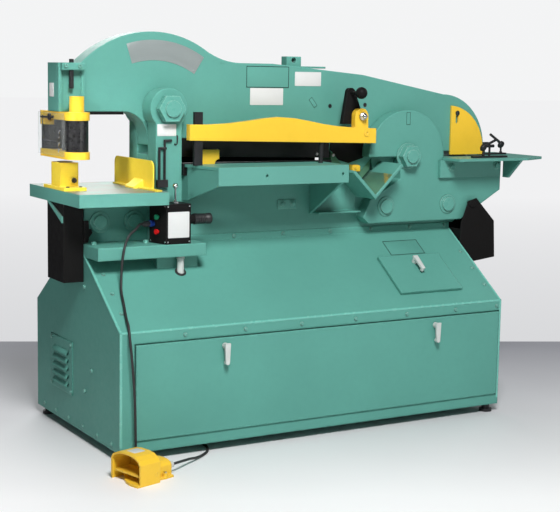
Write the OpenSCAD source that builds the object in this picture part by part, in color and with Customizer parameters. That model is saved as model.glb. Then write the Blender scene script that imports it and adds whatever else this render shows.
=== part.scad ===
// Ironworker: rocker-beam punch, bar shear, angle shear and notcher on a sheet cabinet
// Millimetres; origin on the floor at the middle of the feet; +X along the machine; front faces -Y

/* [Cabinet] */
// Cabinet length
cabinet_l = 1800; // [1790:2:1820]
// Cabinet depth
cabinet_d = 880; // [870:2:890]
// Height of the feet
foot_h = 36; // [30:1:45]
// Height of the upright front
front_h = 462; // [460:1:470]
// Rise of the sloping panels
slope_rise = 277; // [270:1:285]
// Sheet thickness
sheet_t = 4; // [3:0.5:5]
// Rise of the lip along the bed plate
lip_rise = 25; // [20:1:30]
// Length of the lip on the front slope
lip_l = 1330; // [1200:10:1332]
// Depth of the fold-over flange at the rear
rear_flange = 45; // [35:1:60]
// Strap slot half depth from the middle plane
slot_reach = 140; // [134:1:148]
// Gap between loose panels
seam = 0.3; // [0.2:0.05:0.5]
// Overrun of cutting tools
over = 2; // [1:0.5:3]

/* [Front door] */
// Door length
door_l = 1723; // [1700:1:1724]
// Offset of the door middle
door_mid = 23.5; // [20:0.5:24]
// Door height
door_h = 366.4; // [355:0.1:367]
// Height of the sill strip
sill_h = 46; // [44:1:50]
// Gap under the door
door_sill_gap = 0.6; // [0.5:0.1:1]
// Gap round the door
door_gap = 4; // [3.5:0.5:5]
// Door face proud of the frame
door_proud = 6; // [4:0.5:8]
// Depth of the door pan
door_deep = 18; // [14:1:22]
// Door sheet thickness
door_t = 3; // [2:0.5:4]
// Width of a latch lever at its hub
latch_w = 24; // [22:1:28]
// Length of a latch lever
latch_h = 84; // [78:1:90]
// Stand of a latch lever off its door
latch_t = 19; // [16:0.5:22]
// Width of a latch lever at its free end
latch_grip_w = 17; // [14:1:20]
// Reach of a latch lever's tip back to its door
latch_tip = 9; // [6:1:12]
// Thickness of a latch lever
latch_grip_t = 9; // [8:0.5:12]
// Radius of a latch hub
latch_hub_r = 12; // [11:0.5:13]
// Latch shaft radius
latch_shaft_r = 8; // [6:0.5:10]
// Length of the latch shaft behind the door
latch_shaft_l = 22; // [18:1:26]
// Length of the latch cam
latch_cam_l = 20; // [18:1:22]
// Width of the latch cam
latch_cam_w = 22; // [20:1:26]
// Thickness of the latch cam
latch_cam_t = 4; // [3:0.5:6]
// Place of the left latch along the machine
latch_left_x = -466; // [-500:1:-430]
// Place of the right latch along the machine
latch_right_x = 540; // [500:1:580]
// Latch height above the door bottom
latch_rise = 335; // [325:1:340]

/* [Slope hatch] */
// Hatch length
hatch_l = 322; // [310:1:330]
// Hatch left edge
hatch_x = 407; // [395:1:415]
// Hatch lower edge up the slope from the fold
hatch_s = 78; // [70:1:84]
// Hatch width up the slope
hatch_w = 226; // [215:1:232]
// Lap of the hatch over its opening
hatch_lap = 16; // [12:1:20]
// Hatch pan depth
hatch_deep = 14; // [10:1:18]
// Hatch latch place along the machine
hatch_latch_x = 572; // [564:1:580]
// Hatch latch distance from the upper hatch edge
hatch_latch_s = 48; // [44:1:54]

/* [Feet and base] */
// Foot pattern along the machine
feet_l = 1724; // [1700:2:1730]
// Foot pattern across the machine
feet_w = 810; // [780:2:814]
// Foot disc radius
foot_r = 28; // [24:1:30]
// Foot neck radius
foot_neck_r = 18; // [16:1:20]
// Foot disc thickness
foot_disc_t = 12; // [10:1:15]
// Anchor hole radius
anchor_r = 9; // [7:0.5:10]
// Base pan thickness
pan_t = 12; // [10:1:15]
// Left pedestal width
ped_left_w = 70; // [60:1:75]
// Right pedestal width
ped_right_w = 160; // [140:2:180]
// Right pedestal left edge
ped_right_x = 620; // [600:2:640]

/* [Bed plate] */
// Bed plate thickness
bed_t = 100; // [98:0.5:102]
// Half length of the bed in the cabinet
bed_half_l = 860; // [850:1:866]
// Depth of the bed below the ridge
bed_depth = 215; // [205:1:225]
// Jaw end short of the punch
jaw_reach = 59; // [56:1:64]
// Jaw height above the ridge
jaw_rise = 175; // [170:1:180]
// Throat edge left of the middle
throat_x = 614; // [610:1:616]
// Height of the guide horn above the jaw
horn_rise = 182; // [170:1:183]
// Right end of the guide horn left of the middle
horn_x = 485; // [482:1:488]
// Shear bed height above the ridge
shear_bed_rise = 305; // [300:1:308]
// Notcher bed height above the ridge
notch_bed_rise = 285; // [280:1:290]
// Bed tail right of the middle
tail_x = 1100; // [1085:1:1105]
// Bed tail height above the ridge
tail_rise = 165; // [150:1:175]
// Tail foot right of the middle
tail_foot_x = 918; // [915:1:922]
// Place of the left jaw pin left of the middle
jaw_pin_left_x = 818; // [812:1:822]
// Place of the right jaw pin left of the middle
jaw_pin_right_x = 674; // [672:1:680]
// Jaw pin height above the ridge
jaw_pin_rise = 94; // [90:1:98]
// Jaw pin radius
jaw_pin_r = 28; // [25:1:30]
// Jaw pin ring radius
jaw_ring_r = 42; // [38:1:45]

/* [Pivot and side plates] */
// Pivot right of the middle
pivot_x = 610; // [608:1:612]
// Pivot height above the ridge
pivot_rise = 335; // [333:0.5:337]
// Pivot pin radius
pivot_r = 34; // [30:1:38]
// Pivot hex across flats
pivot_hex = 88; // [82:1:92]
// Pivot hex height
pivot_hex_h = 34; // [30:1:38]
// Pivot washer radius
pivot_washer_r = 57; // [55:1:60]
// Pivot washer thickness
pivot_washer_t = 6; // [5:0.5:8]
// Side plate thickness
plate_t = 60; // [57:0.5:60]
// Side plate disc radius
plate_r = 200; // [190:1:204]
// Undercut left of the pivot
plate_cut = 32; // [28:1:36]
// Undercut below the pivot
plate_drop = 2; // [1:0.5:4]
// Side plate length
plate_l = 753; // [748:1:756]
// Side plate left edge
plate_x = 386; // [385:0.5:390]
// Side plate foot height above the ridge
plate_foot = 44; // [40:1:48]
// Side plate top height above the ridge
plate_top = 313; // [311:0.5:315]
// Tie bolt radius
tie_r = 25; // [22:1:28]
// Tie bolt ring radius
tie_ring_r = 42; // [38:1:46]
// Tie bolt head radius
tie_head_r = 31; // [28:1:34]
// Tie bolt head height
tie_head_h = 13; // [10:1:16]
// Tie bolt ring thickness
tie_ring_t = 5; // [4:0.5:7]
// Left tie bolt from the pivot
tie_left = 108; // [104:1:112]
// Right tie bolt from the pivot
tie_right = 229; // [225:1:233]
// Tie bolts below the pivot
tie_drop = 219; // [215:1:223]

/* [Rocker beam] */
// Gap between beam and side plates
beam_gap = 1; // [0.8:0.1:1.5]
// Beam arm past the punch
arm_x = 49; // [41:1:54]
// Arm underside above the jaw
arm_rise = 352; // [348:1:358]
// Arm depth
arm_h = 186; // [178:1:192]
// Inner fillet radius of the arm
arm_fillet = 105; // [95:1:115]
// Hump centre left of the middle
hump_x = 590; // [584:1:596]
// Hump centre above the pivot
hump_rise = 76; // [72:1:80]
// Hump radius
hump_r = 430; // [424:1:434]
// Fillet behind the hump: radius
hump_fillet = 300; // [290:1:310]
// How far below the touch of hump and fillet the web between them ends
hump_cusp = 11; // [9:1:13]
// Beam back height above the pivot
back_rise = 390; // [386:1:394]
// Place where the back starts to fall
back_x = -46; // [-56:1:-36]
// Middle of the falling back
back_mid_x = 407; // [400:1:414]
// Fall of the back at its middle
back_mid_fall = 40; // [36:1:44]
// Nose centre right of the pivot
nose_x = 232; // [228:1:236]
// Nose centre above the pivot
nose_rise = 32; // [28:1:36]
// Nose radius
nose_r = 238; // [234:1:242]
// Beam underside above the pivot at the pivot
under_rise = 31; // [30.5:0.5:33]
// Rake of the blades in degrees
rake = 1.35; // [1.3:0.01:1.4]
// Nose underside above the pivot
nose_under = 15; // [14.5:0.5:18]
// Boss radius round the pivot
boss_r = 150; // [146:1:152]
// Gap round the boss
boss_gap = 10; // [8:0.5:12]
// Lifting lug left edge
lug_x = 38; // [30:1:46]
// Lifting lug length
lug_l = 70; // [60:1:78]
// Lifting lug height
lug_h = 32; // [28:1:38]
// Lifting lug thickness
lug_t = 44; // [38:1:50]
// Lifting lug hole radius
lug_hole_r = 11; // [9:0.5:12]
// Lug bar length
lug_bar_l = 118; // [105:1:125]
// Lug bar depth
lug_bar_w = 60; // [52:1:66]
// Lug bar thickness
lug_bar_t = 16; // [13:1:18]

/* [Links and cylinder] */
// Strap pin from the pivot
strap_reach = 1168; // [1166:0.5:1170]
// Strap pin height above the pivot
strap_rise = 206; // [202:1:210]
// Strap width
strap_w = 112; // [106:1:114]
// Strap thickness
strap_t = 78; // [72:1:80]
// Gap between strap and bed
strap_gap = 1; // [0.8:0.1:1.5]
// Strap boss radius
strap_boss_r = 80; // [74:1:84]
// Strap pin radius
strap_pin_r = 30; // [26:1:34]
// Strap pin hex across flats
strap_hex = 100; // [92:1:108]
// Round end of the big pins past their nuts
pin_end_h = 9; // [7:1:11]
// Strap pin hex height
strap_hex_h = 36; // [30:1:40]
// Crosshead pin height above the base pan
cross_h = 382; // [378:1:384]
// Clearance of the crosshead pin in the straps
cross_gap = 1; // [0.8:0.1:1.4]
// Crosshead width
cross_w = 84; // [76:1:92]
// Crosshead height
cross_deep = 70; // [66:1:74]
// Barrel radius
barrel_r = 96; // [88:1:100]
// Barrel height
barrel_h = 262; // [250:1:264]
// Barrel floor thickness
barrel_floor = 14; // [10:1:16]
// Rod radius
rod_r = 45; // [40:1:48]
// Rod rest height over the barrel floor
rod_rest = 42; // [40:1:46]
// Running clearance of shafts
run = 0.05; // [0.02:0.01:0.08]
// Fit gap of sliding parts
slip = 0.3; // [0.2:0.05:0.4]

/* [Hex keys] */
// Key holder width
keys_w = 46; // [40:1:50]
// Key holder height
keys_h = 30; // [26:1:34]
// Key holder depth
keys_d = 16; // [14:1:18]
// Key holder height below the strap pin
keys_drop = 309; // [300:1:315]
// Key length above the holder
key_l = 128; // [115:1:140]
// Key short leg length
key_leg = 30; // [26:1:36]
// Key across flats
key_af = 9; // [7:0.5:10]

/* [Punch end] */
// Punch from the pivot
punch_reach = 1554; // [1552:0.5:1556]
// Punch table thickness
table_t = 50; // [46:1:52]
// Punch table past the punch
table_x = 47; // [41:1:52]
// Punch table right edge left of the middle
table_end_x = 622; // [620.5:0.5:626]
// Punch table depth
table_d = 537; // [520:1:550]
// Slug hole radius
slug_r = 36; // [33:1:40]
// Die block width
die_w = 74; // [68:1:78]
// Die block depth
die_d = 96; // [90:1:104]
// Die block height
die_h = 105; // [98:1:107]
// Die flange width
die_flange_w = 92; // [88:1:94]
// Die flange depth
die_flange_d = 222; // [210:1:232]
// Die flange thickness
die_flange_t = 13; // [11:1:16]
// Die radius
die_r = 30; // [27:1:32]
// Die height
die_ring_h = 33; // [30:1:36]
// Die proud of its block
die_proud = 3; // [2:0.5:4]
// Die bore radius
die_bore = 13.2; // [13:0.1:15]
// Set screw radius
set_r = 12; // [10:0.5:14]
// Set screw height above the table
set_h = 37; // [32:1:42]
// Set screw length outside the block
set_l = 14; // [10:0.5:18]
// Set screw right of the punch
set_x = 14; // [10:1:18]
// Guard fence sheet thickness
fence_t = 6; // [5:0.5:7]
// Guard fence place right of the punch
fence_x = 298; // [290:1:304]
// Guard fence front end
fence_front = 170; // [160:1:176]
// Guard fence rear end
fence_rear = 207; // [198:1:216]
// Guard fence height
fence_h = 114; // [104:1:118]
// Guard fence corner radius
fence_corner = 28; // [22:1:34]
// Guard fence foot width
fence_foot = 26; // [22:1:30]
// Guard fence foot reach past the front end
fence_toe = 74; // [66:1:80]
// Guard fence tab length
fence_tab_l = 84; // [76:1:92]
// Guard fence tab front end
fence_tab_y = 78; // [70:1:86]
// Guard fence tab reach
fence_tab_w = 40; // [34:1:46]
// Guard fence tab height
fence_tab_h = 36; // [30:1:40]
// Left chute length across
chute_d = 172; // [160:1:180]
// Left chute wall gap to the cabinet
chute_gap = 2; // [1.5:0.5:4]
// Left chute outer edge inside the table edge
chute_inset = 7; // [6.5:0.5:10]
// Left chute length down
chute_h = 308; // [295:1:320]
// Chute sheet thickness
chute_t = 3; // [2.5:0.5:4]
// Hanger bar width
hanger_w = 24; // [20:1:28]
// Hanger bar thickness
hanger_t = 6; // [5:0.5:7]
// Hanger drop
hanger_drop = 74; // [64:1:82]
// Punch head plate width
head_w = 108; // [100:1:114]
// Punch head plate thickness
head_t = 16; // [13:1:20]
// Punch head frame margin
head_rim = 15; // [12:1:18]
// Punch head recess depth
head_recess = 9; // [6:1:11]
// Punch head top block height
head_block = 28; // [24:1:34]
// Metal in front of the adjusting rod
head_bar = 6; // [5:0.5:8]
// Punch holder radius
holder_r = 40; // [37:1:42]
// Punch holder height
holder_h = 64; // [58:1:70]
// Punch nut across flats
punch_nut = 66; // [60:1:70]
// Punch nut height
punch_nut_h = 36; // [32:1:40]
// Punch radius
punch_r = 11; // [9:0.5:11.2]
// Punch tip height over the die
punch_lift = 27; // [26:0.5:29]
// Adjusting rod radius
rod_adj_r = 9; // [7:0.5:11]
// Adjusting rod rise above the arm
rod_adj_rise = 14; // [10:1:18]
// Adjusting rod length
rod_adj_l = 112; // [100:1:120]
// Stripper post spread from the middle plane
post_y = 127; // [124:1:131]
// Stripper cap radius
cap_r = 28; // [26:1:30]
// Stripper cap height
cap_h = 60; // [57:1:64]
// Drop of the rear stripper cap over its sleeve
rear_drop = 24; // [20:1:28]
// Stripper yoke thickness
yoke_t = 31; // [27:1:33]
// Stripper yoke width
yoke_w = 92; // [90:1:96]
// Stripper yoke end radius
yoke_r = 49; // [48:1:51]
// Stripper sleeve radius
sleeve_r = 44; // [41:1:46]
// Stripper foot thickness
strip_t = 29; // [26:1:31]
// Stripper foot drop below the yoke
strip_drop = 119; // [117:1:121]
// Stripper foot hole radius
strip_hole = 17; // [15:0.5:19]
// Guide rod radius
guide_r = 14; // [12:0.5:16]
// Guide rod rest height in the cap
guide_rest = 16; // [12:1:20]

/* [Ledge and control box] */
// Ledge right end left of the middle
ledge_end_x = 440; // [438:1:450]
// Ledge reach from the middle plane
ledge_d = 230; // [224:1:236]
// Ledge thickness
ledge_t = 50; // [46:1:54]
// Ledge top above the ridge
ledge_rise = 15; // [13:0.5:17]
// Cover box reach from the middle plane
cover_d = 174; // [168:1:180]
// Cover box left margin past the strap slot
cover_left = 4; // [3:0.5:6]
// Cover box length
cover_l = 178; // [172:1:184]
// Cover sheet thickness
cover_t = 4; // [3:0.5:5]
// Strap slot margin round the strap
slot_gap = 10; // [9:0.5:12]
// Control box height
box_h = 158; // [148:1:166]
// Control box front
box_front = 225; // [220:1:228]
// Control box rear
box_rear = 133; // [132:0.5:138]
// Control box right side left of the middle
box_right = 506; // [500:1:510]
// Control box front width
box_w = 107; // [100:1:112]
// Control box slant of the button side
box_slant = 30; // [26:1:36]
// Socket radius
socket_r = 19; // [16:1:21]
// Socket length
socket_l = 88; // [78:1:94]
// Socket height above the ledge
socket_h = 92; // [84:1:100]
// Socket set-back from the box front
socket_back = 40; // [34:1:46]
// Button radius
button_r = 10; // [8:0.5:11]
// Button length outside the box
button_l = 15; // [12:1:18]
// Button stem length inside the box
button_stem = 12; // [10:1:16]
// Green button height above the ledge
green_h = 106; // [100:1:112]
// Red button height above the ledge
red_h = 48; // [42:1:54]
// Cable connector height above the ledge
plug_h = 78; // [72:1:84]
// Cable connector radius
plug_r = 13; // [11:0.5:15]
// Cable connector collar length
plug_l = 18; // [15:1:22]
// Strain relief length
relief_l = 30; // [26:1:34]
// Strain relief root radius
relief_r = 10; // [8:0.5:12]
// Lever rod radius
lever_r = 4; // [3:0.5:5]
// Lever length above the box
lever_l = 70; // [62:1:78]
// Lever ball radius
lever_ball_r = 11; // [9:0.5:13]
// Lever pivot ball radius
lever_pivot_r = 9; // [8:0.5:11]
// Lever place behind the box front
lever_back = 22; // [20:1:26]
// Lever place from the box right side
lever_side = 58; // [52:1:62]
// Conduit radius
conduit_r = 14; // [12:0.5:16]
// Conduit place left of the middle
conduit_x = 535; // [528:1:542]
// Conduit place from the middle plane
conduit_y = 193; // [190:1:198]
// Conduit length below the slope
conduit_tail = 24; // [18:1:30]

/* [Bar shear] */
// Lower blade top above the ridge
edge_rise = 321; // [320:0.5:322]
// Blade thickness
blade_t = 30; // [27:0.5:31]
// Lower blade height
lower_blade_h = 50; // [46:1:54]
// Upper blade height
upper_blade_h = 75; // [70:1:80]
// Blade left end left of the middle
blade_x = 470; // [466:1:474]
// Blade length
blade_l = 706; // [700:1:708]
// Upper blade lead past the lower
blade_lead = 6; // [4:0.5:7]
// Table plate thickness
shear_t = 12; // [10:0.5:14]
// Table plate below the blade edge
shear_drop = 4; // [3:0.5:6]
// Table reach from the middle plane
shear_d = 300; // [292:1:308]
// Apron left end left of the middle
apron_x = 424; // [420:1:428]
// Apron length
apron_l = 606; // [596:1:612]
// Apron height
apron_h = 73; // [68:1:78]
// Apron plate thickness
apron_t = 12; // [10:0.5:14]
// Apron hole radius
apron_hole_r = 6; // [5:0.5:8]
// Apron hole spacing
apron_hole_l = 360; // [350:1:370]
// Apron hole pattern offset from the middle
apron_hole_x = -26; // [-34:1:-20]
// Wing shift over its length
wing_shift = 40; // [36:1:44]
// Wing depth at the bed
wing_h = 146; // [138:1:152]
// Gusset in from the shear table's right end
gusset_x = 36; // [30:1:42]
// Gusset depth at the bed
gusset_h = 227; // [218:1:232]
// Bar die length
bar_l = 100; // [90:1:108]
// Bar die left end left of the middle
bar_x = 420; // [416:1:422]
// Bar die thickness
bar_t = 24; // [20:1:28]
// Bar die height
bar_h = 58; // [52:1:64]
// Bar die notch radius
bar_notch = 20; // [16:1:22]

/* [Hold-down] */
// Hold-down bar front reach
hold_front = 175; // [172:1:180]
// Hold-down bar thickness
hold_t = 30; // [28:0.5:32]
// Hold-down bar left end left of the middle
hold_x = 489; // [484:1:492]
// Hold-down bar length
hold_l = 887; // [880:1:890]
// Hold-down bar underside above the blade edge at the left
hold_rise = 96; // [93:1:99]
// Hold-down underside fall over its length
hold_fall = 20; // [17:1:23]
// Hold-down bar depth at the ends
hold_h = 63; // [60:1:66]
// Hold-down crest height
hold_crest = 38; // [34:1:42]
// Ear place from the right end
ear_x = 75; // [70:1:80]
// Ear height above the blade edge
ear_rise = 191; // [186:1:196]
// Ear radius
ear_r = 33; // [30:1:35]
// Left post width
post_w = 36; // [32:1:38]
// Left post thickness
post_t = 15; // [13:0.5:16]
// Left post place from the left end
post_x = 43; // [40:1:46]
// Left post height above the blade edge
post_h = 208; // [204:1:214]
// Right stud radius
stud_r = 10; // [8:0.5:11]
// Right stud place from the left end
stud_x = 620; // [605:1:630]
// Right stud depth in the bar
stud_in = 24; // [20:1:26]
// Hold-down travel room
hold_room = 56; // [54:1:60]
// Crank arm thickness
crank_t = 22; // [18:1:26]
// Crank arm height
crank_l = 98; // [92:1:104]
// Crank arm lean to the left
crank_lean = 36; // [31:1:41]
// Crank arm hub radius
crank_hub_r = 26; // [24:1:30]
// Crank arm tip radius
crank_tip_r = 20; // [18:1:22]
// Crank foot length
crank_foot_l = 78; // [72:1:84]
// Crank foot height
crank_foot_h = 34; // [30:1:38]
// Crank shaft radius
crank_shaft_r = 13; // [11:0.5:15]
// Crank shaft proud of the ear
crank_proud = 8; // [6:0.5:10]
// Knob stem radius
knob_stem_r = 8; // [6:0.5:10]
// Knob stem length
knob_stem_l = 46; // [40:1:52]
// Knob radius
knob_r = 25; // [22:1:28]

/* [Angle shear] */
// Vee point left of the pivot
vee_reach = 238; // [237:0.5:239]
// Vee point above the ridge
vee_rise = 180; // [179:0.5:181]
// Trough plate thickness
vee_t = 14; // [12:0.5:16]
// Trough left arm along the slope
vee_left = 148; // [140:1:152]
// Trough right arm along the slope
vee_right = 184; // [178:1:188]
// Trough reach from the middle plane
vee_front = 222; // [214:1:230]
// Blade lift over the vee
vee_lift = 14; // [13.5:0.5:16]
// Blade depth along the upright
vee_blade = 42; // [38:1:46]
// Blade left arm across
vee_blade_left = 120; // [116:1:124]
// Blade right arm across
vee_blade_right = 82; // [76:1:86]
// Carrier plate left edge left of the vee
carrier_x = 212; // [204:1:220]
// Carrier plate thickness
carrier_t = 14; // [12:0.5:16]
// Carrier plate foot below the vee
carrier_drop = 86; // [80:1:90]
// Carrier flange reach
carrier_flange = 58; // [52:1:62]
// Carrier top drop below the shear bed
carrier_top = 62; // [58:1:66]

/* [Notcher] */
// Notch table thickness
notch_t = 12; // [10:0.5:14]
// Notch table reach from the middle plane
notch_d = 235; // [228:1:242]
// Notch table left front corner from the pivot
notch_left = 192; // [186:1:198]
// Notch table inner left edge from the pivot
notch_inner = 206; // [205:0.5:212]
// Notch table front right corner from the pivot
notch_corner = 586; // [578:1:594]
// Notch table right edge from the pivot
notch_right = 722; // [714:1:730]
// Notch table right half depth
notch_tip = 170; // [160:1:178]
// Gap between table and side plate
notch_gap = 4; // [3:0.5:6]
// Notch apron left end from the pivot
napron_x = 172; // [168:1:178]
// Notch apron length
napron_l = 343; // [335:1:350]
// Notch apron height
napron_h = 78; // [72:1:84]
// Notch apron thickness
napron_t = 18; // [15:1:20]
// Notch table gusset right of the apron
ngusset_x = 28; // [22:1:34]
// Notch table gusset height
ngusset_h = 84; // [78:1:90]
// Notch table gusset foot
ngusset_foot = 36; // [30:1:42]
// Notch die left end from the pivot
ndie_x = 285; // [282:1:290]
// Notch die length
ndie_l = 150; // [146:1:154]
// Notch die half depth
ndie_y = 48; // [46:0.5:49]
// Notch die opening wall
ndie_wall = 11; // [9:0.5:13]
// Notch die side wall
ndie_side = 19; // [17:1:21]
// Notch blade gap in the die
nblade_gap = 4; // [3:0.5:5]
// Notch blade lift over the die
nblade_lift = 4; // [3.5:0.5:6]
// Guard plate thickness
nguard_t = 11; // [9:0.5:12]
// Guard arc centre from the pivot
nguard_x = 260; // [256:1:264]
// Guard arc centre above the pivot
nguard_rise = 20; // [16:1:24]
// Guard arc radius
nguard_r = 200; // [194:1:206]
// Guard left edge from the arc centre
nguard_left = 16; // [12:1:20]
// Guard lower edge below the arc centre
nguard_drop = 22; // [20:0.5:23]
// Guard bolt radius
nbolt_r = 7; // [6:0.5:8]
// Guard bolt place from the arc centre
nbolt_x = 48; // [45:1:51]
// Guard bolt height over the arc centre
nbolt_rise = 166; // [163:1:168]
// Guard slot length
nslot_l = 40; // [38:1:44]
// Guard bolt stand-off
nbolt_l = 6; // [4:0.5:8]
// Gauge bar thickness
gauge_t = 8; // [6:0.5:10]
// Gauge bar width
gauge_w = 26; // [22:1:30]
// Side gauge length
gauge_side_l = 190; // [180:1:200]
// Side gauge left end from the pivot
gauge_side_x = 312; // [300:1:322]
// Side gauge distance from the middle plane
gauge_side_y = 176; // [170:1:182]
// Back gauge length
gauge_back_l = 150; // [140:1:158]
// Back gauge left end from the pivot
gauge_back_x = 500; // [492:1:506]
// Back gauge distance behind the middle plane
gauge_back_y = 10; // [4:1:20]
// Gauge knob handle radius
gknob_r = 7; // [6:0.5:8]
// Gauge knob handle length
gknob_l = 46; // [40:1:52]
// Gauge knob stem radius
gstem_r = 5; // [4:0.5:6]
// Gauge knob stem height
gstem_h = 44; // [38:1:50]
// Right chute left edge past the cabinet
rchute_gap = 3; // [2:0.5:5]
// Right chute half width
rchute_y = 134; // [131:1:138]
// Right chute length
rchute_l = 200; // [194:1:206]
// Right chute foot below the ridge
rchute_foot = 160; // [150:1:168]
// Right chute ear top above the ridge
rchute_top = 139; // [136:1:143]
// Hook bolt radius
hook_r = 9; // [7:0.5:10]
// Hook bolt right of the pivot
hook_x = 352; // [350:1:354]
// Hook bolt above the ridge
hook_rise = 115; // [113:1:117]
// Hook bolt head radius
hook_head_r = 16; // [14:1:18]
// Hook bolt head thickness
hook_head_t = 6; // [5:0.5:8]

/* [Vent and screws] */
// Vent plate width
vent_w = 240; // [230:1:248]
// Vent plate height
vent_h = 220; // [210:1:228]
// Vent plate front edge behind the middle plane
vent_y = 34; // [28:1:40]
// Vent plate bottom above the floor
vent_z = 159; // [150:1:168]
// Vent plate thickness
vent_t = 3; // [2:0.5:4]
// Vent louvre count
vent_n = 5; // [4:1:5]
// Vent louvre depth
louvre_d = 13; // [11:0.5:15]
// Vent louvre height
louvre_h = 24; // [21:1:26]
// Louvre ends in from the plate's sides
louvre_in = 42; // [36:1:48]
// Vent rim round the louvres
vent_rim = 28; // [24:1:32]
// Screw head radius
screw_r = 8.5; // [7.5:0.5:9.5]
// Screw head height
screw_h = 5.5; // [4.5:0.5:6.5]
// Flange thickness of the screws
screw_lip = 1.6; // [1.2:0.2:2]
// Screw inset from a panel edge
screw_in = 24; // [20:1:26]

/* [Drive] */
// Tank left end
tank_x = -160; // [-170:2:-140]
// Tank length
tank_l = 500; // [480:2:520]
// Tank front behind the middle plane
tank_y = 80; // [74:1:86]
// Tank depth
tank_d = 330; // [310:2:340]
// Tank height
tank_h = 280; // [260:2:300]
// Tank wall
tank_wall = 4; // [3:0.5:5]
// Tank lid thickness
lid_t = 8; // [6:0.5:10]
// Tank lid overhang
lid_over = 8; // [6:0.5:10]
// Filler cap radius
filler_r = 32; // [28:1:36]
// Filler cap height
filler_h = 30; // [24:1:34]
// Motor radius
motor_r = 105; // [96:1:110]
// Motor length
motor_l = 310; // [290:2:330]
// Motor left end
motor_x = 20; // [10:1:30]
// Motor axis in front of the middle plane
motor_y = 215; // [205:1:222]
// Motor axis above the base pan
motor_h = 135; // [128:1:142]
// Motor foot width
motor_foot = 150; // [140:1:160]
// Pump length
pump_l = 110; // [100:1:118]
// Pump half width
pump_w = 50; // [44:1:54]
// Pipe radius
pipe_r = 12; // [10:0.5:14]

/* [Foot switch] */
// Mouth centre left of the middle
pedal_x = 969; // [960:1:980]
// Mouth centre in front of the middle plane
pedal_y = 650; // [640:1:660]
// Turn of the foot switch in degrees
pedal_turn = 15; // [10:1:20]
// Hood width
pedal_w = 166; // [158:1:174]
// Hood height
pedal_h = 108; // [102:1:112]
// Hood length
hood_l = 90; // [88:1:96]
// Hood wall
hood_t = 7; // [6:0.5:8]
// Base lip in front of the mouth
pedal_lip = 16; // [12:1:20]
// Base thickness
pedal_base_t = 9; // [7:0.5:11]
// Rear housing length
housing_l = 80; // [76:1:86]
// Rear housing width
housing_w = 104; // [98:1:110]
// Rear housing height
housing_h = 63; // [58:1:68]
// Toe of the switch housing
pedal_toe = 12; // [10:1:14]
// Radius of the switch bolt bosses
pedal_boss_r = 9; // [7:0.5:10]
// Height of the switch bolt bosses
pedal_boss_h = 22; // [18:1:26]
// Treadle width
treadle_w = 132; // [124:1:138]
// Treadle length
treadle_l = 70; // [66:1:74]
// Treadle thickness
treadle_t = 7; // [6:0.5:9]
// Treadle hinge radius
treadle_r = 6; // [5:0.5:7]
// Treadle hinge height
treadle_h = 34; // [30:1:38]
// Treadle hinge gap behind the plate
treadle_gap = 3; // [2.5:0.5:4]
// Gland radius
gland_r = 12; // [10:0.5:13]
// Gland length
gland_l = 28; // [24:1:32]
// Gland height
gland_h = 34; // [30:1:38]
// Gland side shift
gland_side = 22; // [18:1:26]
// Cable radius
cable_r = 5; // [4:0.5:5.5]

/* [Hidden] */
$fn = 72;

// Colours
green = [0.20, 0.42, 0.37];
steel = [0.62, 0.63, 0.64];
dark = [0.10, 0.10, 0.11];
yellow = [0.92, 0.74, 0.08];
grey = [0.45, 0.46, 0.47];
blue = [0.10, 0.30, 0.70];
red = [0.80, 0.08, 0.08];
lamp = [0.10, 0.60, 0.25];

// Main planes of the cabinet
cab_x = cabinet_l / 2;
cab_y = cabinet_d / 2;
base_z = foot_h;
fold_z = base_z + front_h;
ridge_z = fold_z + slope_rise;
lip_z = ridge_z + lip_rise;
pan_z = base_z + pan_t;
bed_y = bed_t / 2;
bed_z = ridge_z - bed_depth;
skin_x = cab_x - sheet_t - seam;
skin_y = cab_y - sheet_t - seam;
slope_run = cab_y - bed_y;
slope_a = atan2(slope_rise, slope_run);
skin_drop = sheet_t / cos(slope_a);

// Levels of the machine
jaw_z = ridge_z + jaw_rise;
table_z = jaw_z + table_t;
horn_z = jaw_z + horn_rise;
shear_bed_z = ridge_z + shear_bed_rise;
notch_bed_z = ridge_z + notch_bed_rise;
edge_z = ridge_z + edge_rise;
pivot_z = ridge_z + pivot_rise;
pivot = [pivot_x, pivot_z];
arm_z = jaw_z + arm_rise;
arm_top = arm_z + arm_h;
ledge_z = ridge_z + ledge_rise;
plate_y = bed_y + plate_t;
plate_z = ridge_z + plate_top;
beam_y = bed_y - beam_gap;
vee = [pivot_x - vee_reach, ridge_z + vee_rise];
vee_run = shear_bed_z - vee[1];

// Front door
door_x0 = door_mid - door_l / 2;
door_x1 = door_mid + door_l / 2;
sill_z = base_z + sill_h;
door_z0 = sill_z + door_sill_gap;
door_z1 = door_z0 + door_h;
door_face = cab_y + door_proud;
latch_z = door_z0 + latch_rise;
latch_end = latch_w / 2 + latch_grip_w / 2 - latch_h;

// Strap, pin and slot
strap = [pivot_x - strap_reach, pivot_z + strap_rise];
strap_y0 = bed_y + strap_gap;
strap_y1 = strap_y0 + strap_t;
slot_x0 = strap[0] - strap_w / 2 - slot_gap;
slot_x1 = strap[0] + strap_w / 2 + slot_gap;
cross_z = pan_z + cross_h;
barrel_z = pan_z + barrel_h;

// Punch end
punch_x = pivot_x - punch_reach;
jaw_end = punch_x + jaw_reach;
arm_end = punch_x - arm_x;
table_left = punch_x - table_x;
die_z = table_z + die_h + die_proud;
tip_z = die_z + punch_lift;
strip_z = arm_z - yoke_t - strip_drop;
rear_cap_z = arm_z - yoke_t - rear_drop;

// Side plate outline as shares of its length and height
plate_shares = [[0.036, 0], [0, 0.1], [0.048, 0.383], [0.255, 0.71], [0.255, 1], [1, 1], [1, 0.476],
  [0.705, 0]];

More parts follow.
